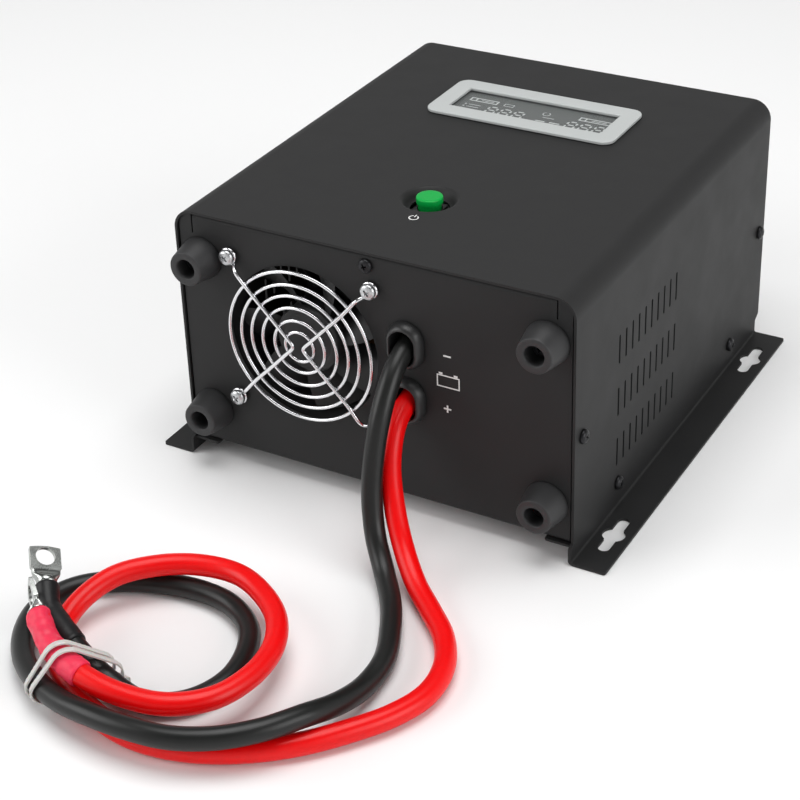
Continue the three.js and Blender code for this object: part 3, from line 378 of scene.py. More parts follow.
def sheet_piece(name, loops, place, slot_name="case_paint", cuts=(), nodes=(), thickness=SHEET, bevel=0.22,
                body="case", look=None):
    """A sheet part: loops are cut flat, creased along the cuts, folded by place and thickened."""
    mesh = flat_fill(loops)
    flat = bmesh.new()
    flat.from_mesh(mesh)
    bmesh.ops.remove_doubles(flat, verts=flat.verts, dist=0.003)
    for axis, value in cuts:
        normal = Vector((1, 0, 0)) if axis == 0 else Vector((0, 1, 0))
        bmesh.ops.bisect_plane(flat, geom=flat.verts[:] + flat.edges[:] + flat.faces[:], dist=1e-4,
                               plane_co=normal * value, plane_no=normal)
    step = 0.01
    solid = bmesh.new()
    sides = ({}, {})
    for vertex in flat.verts:
        u, v = vertex.co.x, vertex.co.y
        across = Vector(place(u + step, v)) - Vector(place(u - step, v))
        along = Vector(place(u, v + step)) - Vector(place(u, v - step))
        offset = across.cross(along).normalized() * (thickness / 2)
        for side, sign in zip(sides, (1, -1)):
            side[vertex] = solid.verts.new(at(*(Vector(place(u, v)) + offset * sign)))
    for face in flat.faces:
        solid.faces.new([sides[0][v] for v in face.verts])
        solid.faces.new([sides[1][v] for v in reversed(face.verts)])
    for edge in flat.edges:
        if edge.is_boundary:
            a, b = edge.verts
            solid.faces.new((sides[0][a], sides[1][a], sides[1][b], sides[0][b]))
    bmesh.ops.recalc_face_normals(solid, faces=solid.faces)
    bmesh.ops.dissolve_limit(solid, angle_limit=math.radians(0.5), verts=solid.verts, edges=solid.edges)
    solid.to_mesh(mesh)
    flat.free()
    solid.free()
    smooth(mesh)
    obj = linked(name, mesh)
    if bevel:
        ease = obj.modifiers.new("ease", "BEVEL")
        ease.width = bevel * MM
        ease.segments = 2
        ease.limit_method = "ANGLE"
        ease.angle_limit = math.radians(50)
    even = obj.modifiers.new("even", "WEIGHTED_NORMAL")
    even.keep_sharp = True
    return dress(obj, slot_name, look, body, nodes)


# ---- turned pieces, tubes and lofts ----
AXES = {
    "z": lambda a, b, h: (a, b, h),
    "-y": lambda a, b, h: (a, -h, b),
    "y": lambda a, b, h: (a, h, -b),
    "x": lambda a, b, h: (h, a, b),
    "-x": lambda a, b, h: (-h, a, -b),
}


def turned(name, profile, centre, axis, slot_name, sides=64, closed=False, **rest):
    """A profile of (radius, height) turned about an axis through centre; height runs along the axis."""
    vertices, faces = [], []
    count = len(profile)
    for i in range(sides):
        c, s = math.cos(i * TAU / sides), math.sin(i * TAU / sides)
        for radius, height in profile:
            offset = AXES[axis](radius * c, radius * s, height)
            vertices.append([o + k for o, k in zip(offset, centre)])
    for i in range(sides):
        for k in range(count if closed else count - 1):
            a, b = i * count + k, i * count + (k + 1) % count
            c, d = ((i + 1) % sides) * count + (k + 1) % count, ((i + 1) % sides) * count + k
            faces.append((a, b, c, d))
    return piece(name, vertices, faces, slot_name, **rest)


def curve_points(points, spacing=1.5):
    """The uniform Catmull-Rom curve that the frame's cords follow, as close points."""
    source = [Vector(p) for p in points]
    ends = [source[0] * 2 - source[1]] + source + [source[-1] * 2 - source[-2]]
    dense = []
    for i in range(len(source) - 1):
        p0, p1, p2, p3 = ends[i:i + 4]
        t0, t1 = (p2 - p0) * 0.5, (p3 - p1) * 0.5
        for k in range(24):
            t = k / 24
            dense.append(p1 + t0 * t + (3 * (p2 - p1) - 2 * t0 - t1) * t ** 2
                         + (2 * (p1 - p2) + t0 + t1) * t ** 3)
    dense.append(source[-1])
    total = sum((b - a).length for a, b in zip(dense, dense[1:]))
    count = round(total / spacing)
    even, travelled, index = [dense[0]], 0.0, 0
    for k in range(1, count):
        goal = total * k / count
        while travelled + (dense[index + 1] - dense[index]).length < goal:
            travelled += (dense[index + 1] - dense[index]).length
            index += 1
        step = dense[index + 1] - dense[index]
        even.append(dense[index] + step * ((goal - travelled) / step.length))
    even.append(dense[-1])
    return even, total


def frames_along(points):
    """A point, two cross directions and the tangent at each point, turned as little as possible."""
    result = []
    side = None
    for i, point in enumerate(points):
        ahead_point, behind = points[min(i + 1, len(points) - 1)], points[max(i - 1, 0)]
        along = (ahead_point - behind).normalized()
        if side is None:
            side = along.cross(Vector((0, 0, 1))).normalized()
        side = (side - along * side.dot(along)).normalized()
        result.append((point, side.copy(), along.cross(side).normalized(), along))
    return result


def skin(rings, closed_ends=True, cyclic=False):
    count = len(rings[0])
    vertices = [v for ring in rings for v in ring]
    faces = []
    last = len(rings) if cyclic else len(rings) - 1
    for k in range(last):
        for i in range(count):
            a, b = k * count + i, k * count + (i + 1) % count
            n = ((k + 1) % len(rings)) * count
            faces.append((a, b, n + (i + 1) % count, n + i))
    if closed_ends and not cyclic:
        faces.append(tuple(range(count)))
        faces.append(tuple(range((len(rings) - 1) * count, len(rings) * count)))
    return vertices, faces


def tube(name, points, radius, slot_name, sides=32, **rest):
    """A tube along points; radius is a function of (share along, angle)."""
    rings = []
    last = len(points) - 1
    for i, (point, side, other, _) in enumerate(frames_along(points)):
        ring = []
        for k in range(sides):
            turn = k * TAU / sides
            r = radius(i / last, turn)
            ring.append(point + side * (r * math.cos(turn)) + other * (r * math.sin(turn)))
        rings.append(ring)
    return piece(name, *skin(rings), slot_name, **rest)


def wire(name, lines, radius, slot_name, **rest):
    """Round wires: lines is a list of (points, closed)."""
    curve = bpy.data.curves.new(name, "CURVE")
    curve.dimensions = "3D"
    curve.bevel_depth = radius * MM
    curve.bevel_resolution = 5
    curve.use_fill_caps = True
    for points, closed in lines:
        spline = curve.splines.new("POLY")
        spline.points.add(len(points) - 1)
        for target, point in zip(spline.points, points):
            target.co = (*at(*point), 1.0)
        spline.use_cyclic_u = closed
        spline.use_smooth = True
    return dress(linked(name, curve), slot_name, **rest)


# ---- battery cables ----
def arc_from(points, distance_from_end):
    travelled = 0.0
    for i in range(len(points) - 1, 0, -1):
        travelled += (points[i] - points[i - 1]).length
        if travelled >= distance_from_end:
            return i - 1
    return 0


def build_sleeve(name, points, length, look, node, wrinkle, seed):
    run, _ = curve_points(points[arc_from(points, length):], 0.6)
    shift = Vector((seed * 7.1, seed * 3.3, 0))

    def radius(share, turn):
        step = 1 / (1 + math.exp(-(share - 0.50) * 28))
        base = 5.4 - 0.45 * step
        lump = noise.noise(Vector((share * 6.5, math.cos(turn) * 1.1, math.sin(turn) * 1.1)) + shift)
        fold = noise.noise(Vector((share * 17, math.cos(turn) * 0.8, math.sin(turn) * 0.8)) + shift * 2)
        return base + wrinkle * (0.42 * lump + 0.26 * fold) * min(1.0, 4 * share + 0.4)

    lip = 0.45

    def with_lips(share, turn):
        edge = min(share, 1 - share) * length
        return radius(share, turn) - (0.35 * (1 - edge / lip) ** 2 if edge < lip else 0.0)

    return tube(name, run, with_lips, look, sides=40, nodes=[node], angle=50.0)


def build_lug(name, points, neck, normal, node):
    """A ring lug: a barrel at the cable's end, pressed flat over the neck into a palm with a hole."""
    end, along = points[-1], (points[-1] - points[-3]).normalized()
    across = normal.cross(along).normalized()
    rise = along.cross(across).normalized()
    half, thick, corner, arch, hole = PALM_WIDTH / 2, PALM_THICK / 2, 2.2, 1.4, 4.1
    rings = []
    stations = ((0.4, 4.0, 4.0, 1.0), (0.7, 4.2, 4.2, 1.0), (0.35 * neck, 4.2, 4.2, 1.0),
                (0.55 * neck, 4.9, 3.4, 0.8), (0.75 * neck, 5.6, 2.1, 0.5), (0.92 * neck, 6.0, 1.15, 0.15),
                (neck + 1.2, half - 0.5, thick, 0.0))
    sides = 48
    for x, wide, high, roundness in stations:
        ring = []
        for k in range(sides):
            turn = k * TAU / sides
            c, s = math.cos(turn), math.sin(turn)
            power = 1.0 if roundness > 0.9 else 0.25 + 0.75 * roundness
            y = wide * math.copysign(abs(c) ** power, c)
            z = high * math.copysign(abs(s) ** power, s)
            ring.append(end + along * x + across * y + rise * z)
        rings.append(ring)
    barrel = piece(name + "_barrel", *skin(rings), "tinned_lug", angle=40.0)
    start, tip = neck - 0.2, neck - 0.2 + PALM_LENGTH
    outline = [(start, corner - half), (start + 0.3, corner - half - 0.5),
               (start + corner - 0.4, -half + 0.2), (start + corner, -half), (tip - arch - 0.5, -half)]
    for k in range(13):
        share = k / 12
        outline.append((tip - arch + 2.8 * 2 * share * (1 - share) / 2, half * (2 * share - 1) * 0.985))
    outline += [(a, -b) for a, b in outline[4::-1]]

    def lay(u, v):
        return end + along * u + across * v

    palm = sheet_piece(name + "_palm", [outline, circle(tip - arch - hole, 0.0, hole, 48)], lay, "tinned_lug",
                       thickness=2 * thick, bevel=0.25, nodes=[node])
    return [barrel, palm]


cords = {}
for colour, route, sleeve_length, wrinkle, neck, normal, seed in (
    ("black", BLACK_ROUTE, 33.0, 0.35, 5.8, Vector((0.544, -0.064, 0.84)), 1),
    ("red", RED_ROUTE, 36.0, 1.15, 2.6, Vector((0.629, 0.767, -0.087)), 2),
):
    centre_line, cord_length = curve_points(route)
    cable = tube(f"cable_{colour}", centre_line[:-2], lambda share, turn: DRAWN_CABLE_R,
                 f"cable_{colour}", sides=40, nodes=[f"battery_cable_{colour}"])
    sleeve = build_sleeve(f"sleeve_{colour}_shrunk", centre_line, sleeve_length, f"sleeve_{colour}",
                          f"lug_sleeve_{colour}", wrinkle, seed)
    lug_pieces = build_lug(f"lug_{colour}", centre_line, neck, normal, f"ring_lug_{colour}")
    cords[colour] = (cable, centre_line, cord_length, [sleeve, *lug_pieces])

# ---- cable tie: two turns round the strands ----
TIE_CENTRE = Vector((-38, -169.5, 12))
TIE_NORMAL = Vector((-0.75, 0.66, 0)).normalized()
TIE_SIDE = Vector((0, 0, 1)).cross(TIE_NORMAL)
TIE_WIDE, TIE_THICK, LOCK_UP = 2.5, 0.95, -7.0


def tie_outline(centre, gap):
    """The taut line round the strands where a plane cuts them, as (across, up) points 0.5 apart."""
    marks = []
    for _, line, _, _ in cords.values():
        for i in range(len(line) - 1):
            a, b = line[i] - centre, line[i + 1] - centre
            if a.dot(TIE_NORMAL) * b.dot(TIE_NORMAL) > 0 or a.length > 30:
                continue
            slant = abs((b - a).normalized().dot(TIE_NORMAL))
            sleeved = i / len(line) > 0.8
            radius = 5.5 if sleeved else CABLE_R
            wide, high = radius / slant + gap, radius + gap + (0.5 if sleeved else 0.0)
            marks += [(a.dot(TIE_SIDE) + wide * math.cos(k * TAU / 60), a.z + high * math.sin(k * TAU / 60))
                      for k in range(60)]
    marks.sort()

    def chain(items):
        kept = []
        for p in items:
            while len(kept) > 1 and ((kept[-1][0] - kept[-2][0]) * (p[1] - kept[-2][1])
                                     - (kept[-1][1] - kept[-2][1]) * (p[0] - kept[-2][0])) <= 1e-6:
                kept.pop()
            kept.append(p)
        return kept[:-1]

    hull = chain(marks) + chain(marks[::-1])
    even = []
    for p, q in zip(hull, hull[1:] + hull[:1]):
        a, b = Vector(p), Vector(q)
        steps = max(1, round((b - a).length / 0.5))
        even += [a.lerp(b, k / steps) for k in range(steps)]
    return even


tie_pieces = []
for turn_index, offset in enumerate((-2.2, 2.2)):
    plane = TIE_CENTRE + TIE_NORMAL * offset
    outline = tie_outline(plane, 0.65)
    rings = []
    for i, point in enumerate(outline):
        before, after = outline[i - 1], outline[(i + 1) % len(outline)]
        along = (after - before).normalized()
        out = Vector((along.y, -along.x))
        tooth = 0.14 if i % 4 < 2 else 0.0
        ring = []
        for wide, thick in ((-0.5, 0.0), (-0.5, 0.7), (-0.36, 1.0), (0.36, 1.0), (0.5, 0.7), (0.5, 0.0)):
            lift = TIE_THICK * thick - (tooth if thick > 0.9 else 0.0)
            flat = point + out * lift
            ring.append(plane + TIE_NORMAL * (wide * TIE_WIDE) + TIE_SIDE * flat.x + Vector((0, 0, flat.y)))
        rings.append(ring)
    vertices, faces = skin(rings, cyclic=True)
    tie_pieces.append(piece(f"tie_turn_{turn_index + 1}", vertices, faces, "tie_nylon", angle=38.0,
                            nodes=["cable_tie"] if turn_index == 0 else ()))


def tie_lock():
    """The lock sits low on the side towards the coil's middle."""
    rings = []
    for offset, inset in ((-3.3, 0.4), (-2.9, 0.0), (2.9, 0.0), (3.3, 0.4)):
        plane = TIE_CENTRE + TIE_NORMAL * offset
        near = [p.x for p in tie_outline(plane, 0.65) if abs(p.y - LOCK_UP) < 2.2]
        rings.append([plane + TIE_SIDE * x + Vector((0, 0, z)) for x, z in rounded(
            min(near) - 1.4, LOCK_UP, 2.8 - 2 * inset, 3.7 - 2 * inset, 0.9, 4)])
    return piece("tie_lock", *skin(rings), "tie_nylon", angle=40.0)


tie_pieces.append(tie_lock())

for colour, exit_z in (("black", BLACK_Z), ("red", RED_Z)):
    cable, centre_line, cord_length, on_it = cords[colour]
    on_it = on_it + (tie_pieces if colour == "black" else [])


# ---- cover ----
def build_cover():
    mid = HALF_WIDTH - SHEET / 2
    tip = HALF_WIDTH + FLANGE_REACH
    fold = Fold([(-tip, SHEET / 2), (-mid, SHEET / 2, 1.6), (-mid, TOP - SHEET / 2, CORNER - SHEET / 2),
                 (mid, TOP - SHEET / 2, CORNER - SHEET / 2), (mid, SHEET / 2, 1.6), (tip, SHEET / 2)])
    full = fold.length

    def on_side(side, z):
        return fold.locate(side * mid, z)

    low_l, high_l = on_side(-1, FLOOR - 0.6), on_side(-1, FLOOR + 0.8)
    low_r, high_r = full - low_l, full - high_l
    nick = arc_points(1.2, FLANGE_START + 1.2, 1.2, math.pi, 1.5 * math.pi, 4)
    outline = nick + [(low_l, FLANGE_START), (low_l + 0.4, FLANGE_START + 0.5), (high_l, 0.0), (high_r, 0.0),
                      (low_r - 0.4, FLANGE_START + 0.5), (low_r, FLANGE_START)]
    outline += [(full - a, b) for a, b in nick[::-1]]
    end = [(a, FLANGE_END + FLANGE_START - b) for a, b in nick]
    outline += [(full - a, b) for a, b in end]
    outline += [(low_r, FLANGE_END), (high_r - 0.2, DEPTH - 1.0), (high_r - 1.0, DEPTH),
                (high_l + 1.0, DEPTH), (high_l + 0.2, DEPTH - 1.0), (low_l, FLANGE_END)]
    outline += end[::-1]

    holes = []
    middle = full / 2
    vent_zs, vent_start, vent_pitch, vent_size = (30.0, 55.6, 81.8), 44.3, 6.95, (14.2, 1.55, 0.76)
    for side in (-1, 1):
        for z in vent_zs:
            s = on_side(side, z)
            holes += [rounded(s, vent_start + vent_pitch * i, *vent_size, 4) for i in range(10)]
        flange = fold.locate(side * (HALF_WIDTH + 8.0), SHEET / 2)
        holes += [keyhole(flange, y, 5.2, 5.4, 26.5) for y in (24.5, 191.5)]
        holes += [circle(on_side(side, z), y, 2.0, 16) for y, z in SIDE_SCREWS]
    holes.append(circle(middle, BUTTON_Y, 13.5, 72))
    holes.append(rounded(middle, DISPLAY_Y, 90, 34, 1.0))

    def place(s, y):
        x, z = fold.point(s)
        return x, y, z

    sheet_piece("cover_sheet", [outline] + holes, place, cuts=[(0, s) for s in fold.cuts],
                nodes=["case_cover"])
    turned("button_dish", [(13.9, -0.01), (13.5, -0.02), (13.0, -0.12), (12.4, -0.5), (11.5, -1.6),
                           (10.6, -2.9), (10.0, -3.7), (9.4, -4.15), (8.9, -4.3), (8.9, -5.1), (9.6, -5.1),
                           (10.8, -4.4), (12.6, -1.9), (13.4, -1.25), (13.9, -1.2)],
           (0, BUTTON_Y, TOP), "z", "case_paint", sides=96, closed=True, angle=50.0)
    for side in (-1, 1):
        for y0 in (-0.4, 200.0):
            outline = rounded(side * (HALF_WIDTH - 7.0), y0 + 6.7, 13.4, 13.2, 1.0, 3)
            sheet_piece(f"cover_tab_{'left' if side < 0 else 'right'}_{1 if y0 < 0 else 2}", [outline],
                        lambda x, y: (x, y, FLOOR - 0.9))


build_cover()


# ---- chassis: front wall, floor and rear wall in one folded sheet ----
def stadium(cx, cz, radius, straight, count=24):
    top = arc_points(cx, cz + straight, radius, 0, math.pi, count)
    return top + arc_points(cx, cz - straight, radius, math.pi, TAU, count)


def build_chassis():
    half = 95.5
    y_front, y_rear = WALL_FRONT + SHEET / 2, WALL_REAR - SHEET / 2
    z_top, z_floor = INSIDE_TOP - 0.4 - SHEET / 2, FLOOR + SHEET / 2
    bend = 1.5
    fold = Fold([(y_front + 12, z_top), (y_front, z_top, bend), (y_front, z_floor, bend),
                 (y_rear, z_floor, bend), (y_rear, z_top, bend), (y_rear - 12, z_top)], facets=8)
    front_top = fold.locate(y_front, z_top - bend)
    rear_top = fold.locate(y_rear, z_top - bend)
    slit, slit_low = 88.6, 9.0
    corner = 6.3

    def end_outline(start, sign):
        """One end of the blank: ears beside a folded lip; s runs away from the wall along sign."""
        ear = start + sign * (z_top + SHEET / 2 - (z_top - bend))
        side = [(-half, start - sign * 30), (-half, ear - sign * corner)]
        side += [(-half + corner - corner * math.cos(t), ear - sign * corner + sign * corner * math.sin(t))
                 for t in (math.pi / 16 * k for k in range(1, 9))]
        side += [(-slit - 0.3, ear), (-slit - 0.3, start - sign * slit_low + sign * 2),
                 (-slit + 0.3, start - sign * slit_low + sign * 2), (-slit + 0.3, start + sign * 13.2)]
        return side + [(-x, s) for x, s in side[::-1]]

    outline = end_outline(front_top, -1) + end_outline(rear_top, 1)[::-1]

    def on_wall(y, loop):
        return [(x, fold.locate(y, z)) for x, z in loop]

    holes = [on_wall(y_front, loop) for loop in (
        circle(FAN_X, FAN_Z, FAN_OPENING, 96), stadium(CABLE_X, BLACK_Z, BUSHING_HOLE, BUSHING_STRAIGHT),
        stadium(CABLE_X, RED_Z, BUSHING_HOLE, BUSHING_STRAIGHT))]
    holes += [on_wall(y_rear, loop) for loop in (
        rounded(INLET_X, INLET_Z, 27.8, 20.4, 2, 4), circle(BREAKER_X, BREAKER_Z, 6.1, 32),
        *(circle(x, OUTLET_Z, 21.8, 64) for x in OUTLET_XS))]
    holes.append(circle(-37.5, fold.locate(141.0, z_floor), 4.4, 24))

    def place(x, s):
        if abs(x) > slit and (s < front_top or s > rear_top):
            y, edge = (y_front, front_top) if s < front_top else (y_rear, rear_top)
            return x, y, z_top - bend + abs(s - edge)
        y, z = fold.point(s)
        return x, y, z

    sheet_piece("chassis_sheet", [outline] + holes, place, cuts=[(1, s) for s in fold.cuts],
                nodes=["chassis"])
    for side in (-1, 1):
        word = "left" if side < 0 else "right"
        x = side * (HALF_WIDTH - SHEET - 0.4 - SHEET / 2)
        for end, y0, y1 in (("front", WALL_FRONT + 1.3, 14.0), ("rear", WALL_REAR - 14.0, WALL_REAR - 1.3)):
            outline = rounded((y0 + y1) / 2, 66.0, y1 - y0, 78.0, 2.0, 3)
            sheet_piece(f"chassis_ear_{word}_{end}", [outline], lambda y, z, x=x: (x, y, z))
        outline = rounded(111.5, 16.0, 192.0, 13.0, 2.0, 3)
        sheet_piece(f"chassis_side_{word}", [outline], lambda y, z, x=x: (x, y, z))
    for i, (x, y) in enumerate(((32, 46), (84, 46), (32, 196), (84, 196))):
        turned(f"board_post_{i + 1}", [(0, FLOOR + 1.0), (3, FLOOR + 1.0), (3, 19.3), (2.8, 19.5), (0, 19.5)],
               (x, y, 0), "z", "plain_steel", sides=6)
    tab = rounded(0, 119.6, 17.0, 10.0, 1.0, 3)
    sheet_piece("top_screw_tab", [tab, circle(0, 120, 1.8, 16)], lambda x, z: (x, WALL_FRONT + 2.3, z))


build_chassis()


# ---- screws ----
def cross_recess(radius, depth):
    """Two crossed wedges, to be cut from a screw's head."""
    bm = bmesh.new()
    for turn in (0, math.pi / 2):
        wide, narrow = radius * 0.95, radius * 0.2
        quarters = ((-1, -1), (1, -1), (1, 1), (-1, 1))
        top = [Vector((sx * wide, sy * narrow * 1.15, 0.3)) for sx, sy in quarters]
        low = [Vector((sx * wide * 0.45, sy * narrow * 0.8, -depth)) for sx, sy in quarters]
        rotate = Matrix.Rotation(turn, 3, "Z")
        verts = [bm.verts.new(rotate @ v) for v in top + low]
        for face in ((0, 1, 2, 3), (7, 6, 5, 4), (0, 4, 5, 1), (1, 5, 6, 2), (2, 6, 7, 3), (3, 7, 4, 0)):
            bm.faces.new([verts[k] for k in face])
    bmesh.ops.recalc_face_normals(bm, faces=bm.faces)
    return bm


def screw_mesh(name, radius, height, shank, length):
    """A pan-head screw with a crossed recess, its seat at the origin and its head along +Z."""
    profile = [(0, height), (radius * 0.35, height * 0.99), (radius * 0.62, height * 0.93),
               (radius * 0.82, height * 0.78), (radius * 0.95, height * 0.52), (radius, height * 0.25),
               (radius * 0.985, 0.0), (shank, 0.0), (shank, -length), (0, -length)]
    sides = 40
    bm = bmesh.new()
    rings = []
    for i in range(sides):
        c, s = math.cos(i * TAU / sides), math.sin(i * TAU / sides)
        rings.append([bm.verts.new((r * c, r * s, h)) for r, h in profile])
    for i in range(sides):
        a, b = rings[i], rings[(i + 1) % sides]
        for k in range(len(profile) - 1):
            bm.faces.new((a[k], a[k + 1], b[k + 1], b[k]))
    bmesh.ops.remove_doubles(bm, verts=bm.verts, dist=1e-5)
    bmesh.ops.recalc_face_normals(bm, faces=bm.faces)
    head = bpy.data.meshes.new(name)
    bm.to_mesh(head)
    cutter = bpy.data.meshes.new(name + "_recess")
    recess = cross_recess(radius * 0.52, height * 0.72)
    bmesh.ops.translate(recess, verts=recess.verts, vec=(0, 0, height))
    recess.to_mesh(cutter)
    holder, tool = linked(name, head), linked(name + "_tool", cutter)
    cut = holder.modifiers.new("recess", "BOOLEAN")
    cut.operation = "DIFFERENCE"
    cut.solver = "EXACT"
    cut.use_self = True
    cut.object = tool
    graph = bpy.context.evaluated_depsgraph_get()
    mesh = bpy.data.meshes.new_from_object(holder.evaluated_get(graph))
    mesh.transform(Matrix.Scale(MM, 4))
    for obj in (holder, tool):
        bpy.data.objects.remove(obj)
    smooth(mesh, 34)
    return mesh


def screw(name, mesh, seat, direction, spin, slot_name, node):
    data = mesh.copy()
    turn = Vector(direction).to_track_quat("Z", "Y").to_matrix().to_4x4() @ Matrix.Rotation(spin, 4, "Z")
    data.transform(Matrix.Translation(at(*seat)) @ turn)
    return dress(linked(name, data), slot_name, nodes=[node])


random.seed(11)
guard_screw = screw_mesh("guard_screw_shape", 3.7, 2.25, 1.85, 12.0)
FAN_CORNERS = [(FAN_X + sx * FAN_PITCH / 2, FAN_Z + sz * FAN_PITCH / 2) for sx in (-1, 1) for sz in (-1, 1)]
for number, (x, z) in enumerate(FAN_CORNERS, 1):
    screw(f"fan_screw_{number}", guard_screw, (x, WALL_FRONT - 2.7, z), (0, -1, 0),
          random.uniform(0, 1.5), "bright_screws", f"guard_screw_{number}")
black_screw = screw_mesh("black_screw_shape", 3.3, 2.05, 1.65, 4.6)
screw("top_wall_screw", black_screw, (0, WALL_FRONT - 0.3, 120), (0, -1, 0), 0.4,
      "black_screws", "panel_screw")
for number, (side, (y, z)) in enumerate(((s, place) for s in (-1, 1) for place in SIDE_SCREWS), 1):
    screw(f"side_screw_{number}", black_screw, (side * (HALF_WIDTH + 0.3), y, z), (side, 0, 0),
          random.uniform(0, 1.5), "black_screws", f"cover_screw_{number}")

# ---- feet ----
foot_screw = screw_mesh("foot_screw_shape", 3.8, 2.3, 1.85, 8.0)
FOOT_SEAT = WALL_FRONT - 0.3
for number, (x, z) in enumerate(((x, z) for x in (-FOOT_X, FOOT_X) for z in FOOT_ZS), 1):
    turned(f"foot_{number}", [(2.3, 0), (9.9, 0), (10.0, 0.3), (9.9, 1.6), (9.65, 3.4), (8.15, 12.1),
                              (8.02, 12.6), (7.8, 12.88), (7.5, 12.98), (5.2, 12.98), (4.75, 12.8),
                              (4.5, 12.3), (4.4, 4.7), (2.3, 4.6)],
           (x, FOOT_SEAT, z), "-y", "foot_rubber", sides=72, closed=True, angle=48.0,
           nodes=[f"rubber_foot_{number}"])
    screw(f"foot_fixing_{number}", foot_screw, (x, FOOT_SEAT - 4.9, z), (0, -1, 0), 0.3 * number,
          "black_screws", f"foot_screw_{number}")


# ---- fan ----
def build_fan():
    holes = [circle(x, z, 2.2, 20) for x, z in FAN_CORNERS]
    for index, y in enumerate((FAN_FRONT + 2.0, FAN_FRONT + 23.0)):
        outline = rounded(FAN_X, FAN_Z, 79.6, 79.6, 5.0)
        sheet_piece(f"fan_flange_{index + 1}", [outline, circle(FAN_X, FAN_Z, 38.1, 96)] + holes,
                    lambda x, z, y=y: (x, y, z), "fan_plastic", thickness=3.8, bevel=0.4,
                    nodes=["fan_frame"] if index == 0 else ())
    centre = (FAN_X, FAN_FRONT, FAN_Z)
    turned("fan_duct", [(38.9, 0.2), (38.1, 0.9), (37.9, 4), (37.9, 21), (38.1, 24.2), (38.9, 24.8),
                        (39.7, 24.8), (39.7, 0.2)], centre, "y", "fan_plastic", sides=96, closed=True)
    turned("fan_motor_seat", [(0, 21.8), (16.8, 21.8), (16.9, 22.3), (16.9, 24.7), (0, 24.7)],
           centre, "y", "fan_plastic", sides=64)
    for k in range(4):
        turn = 0.6 + k * math.pi / 2
        c, s = math.cos(turn), math.sin(turn)
        y = FAN_FRONT + 23.3
        rings = []
        for r, w in ((15, 2.0), (26, 1.6), (38.4, 1.4)):
            cx, cz = FAN_X + r * c, FAN_Z + r * s
            rings.append([(cx - s * a, y + b, cz + c * a) for a, b in rounded(0, 0, 2 * w, 2.6, 0.5, 3)])
        piece(f"fan_strut_{k + 1}", *skin(rings), "fan_plastic", angle=40.0)
    turned("rotor_hub", [(0, 1.35), (11.6, 1.3), (12.2, 1.45), (12.6, 1.3), (14.3, 1.4), (15.3, 1.8),
                         (15.85, 2.6), (16.0, 3.6), (16.0, 20.3), (0, 20.3)],
           centre, "y", "fan_plastic", body="fan_rotor", sides=96, nodes=["fan_rotor"])
    for k in range(7):
        rings = []
        for station in range(9):
            share = station / 8
            r = 15.6 + share * 20.9
            start = k * TAU / 7 + 0.28 * share
            span = 0.66 - 0.06 * share
            thick = 1.5 - 0.7 * share
            upper, lower = [], []
            for j in range(9):
                t = j / 8
                turn = start + span * t
                camber = 2.1 * math.sin(math.pi * t)
                y = FAN_FRONT + 4.2 + 12.6 * t - camber
                skinny = thick * (0.35 + 0.65 * math.sin(math.pi * min(1, t * 1.15)))
                point = (FAN_X + r * math.cos(turn), y, FAN_Z + r * math.sin(turn))
                upper.append(point)
                lower.append((point[0], y + max(0.3, skinny), point[2]))
            rings.append(upper + lower[::-1])
        piece(f"rotor_blade_{k + 1}", *skin(rings), "fan_plastic", body="fan_rotor", angle=60.0)


build_fan()


# ---- fan guard: rings behind, two bent stays with eyes for the screws in front ----
def build_guard():
    rings_y, half = WALL_FRONT - 3.4, FAN_PITCH / 2
    stays_y, eyes_y = rings_y - 1.4, WALL_FRONT - 1.4
    lines = []
    for radius in (36.3, 30.2, 24.8, 19.0, 12.8, 7.2):
        lines.append(([(FAN_X + a, rings_y, FAN_Z + b) for a, b in circle(0, 0, radius, 96)], True))
    wire("guard_rings", lines, 0.84, "bright_wire", nodes=["fan_guard"])
    lines = []
    for side in (-1, 1):
        bend = half - 5.6
        upper = [(half - 1.5, eyes_y, half - 3.3), (half - 2.6, eyes_y - 0.1, half - 3.6)]
        upper += [(x, stays_y, z) for x, z in ((bend, bend), (24, 22.9), (14, 12.6), (6.2, 4.4), (3.3, 1.4))]
        knots = upper + [(2.7, stays_y, 0)] + [(x, y, -z) for x, y, z in upper[::-1]]
        line, _ = curve_points([(FAN_X + side * x, y, FAN_Z + z) for x, y, z in knots], 0.8)
        lines.append((line, False))
        for rise in (-1, 1):
            eye = [(FAN_X + side * half + a, eyes_y, FAN_Z + rise * half + b)
                   for a, b in circle(0, 0, 3.2, 40)]
            lines.append((eye, True))
    wire("guard_stays", lines, 0.92, "bright_wire")


build_guard()


# ---- bushings ----
def build_bushing(name, centre_z, node):
    section = [(7.25, 10.8), (7.25, 0.0), (7.3, -0.35), (8.6, -0.35), (8.86, -0.5), (8.9, -0.9),
               (8.8, -1.6), (8.55, -2.4), (8.2, -3.2), (7.75, -3.95), (7.25, -4.55), (6.8, -4.9),
               (6.4, -5.05), (6.1, -5.0), (5.85, -4.75), (5.7, -4.3), (5.65, -3.6), (5.65, 10.8)]
    rings = []
    count = 40
    for half, shift in ((0, BUSHING_STRAIGHT), (1, -BUSHING_STRAIGHT)):
        for i in range(count + 1):
            turn = half * math.pi + i * math.pi / count
            c, s = math.cos(turn), math.sin(turn)
            rings.append([(CABLE_X + r * c, WALL_FRONT + y, centre_z + shift + r * s) for r, y in section])
    piece(name, *skin(rings, cyclic=True), "bushing_plastic", angle=45.0, nodes=[node])


for colour, exit_z in (("black", BLACK_Z), ("red", RED_Z)):
    build_bushing(f"cable_bushing_{colour}", exit_z, f"bushing_{colour}")


# ---- printed marks ----
PRINT_LIFT = 0.03


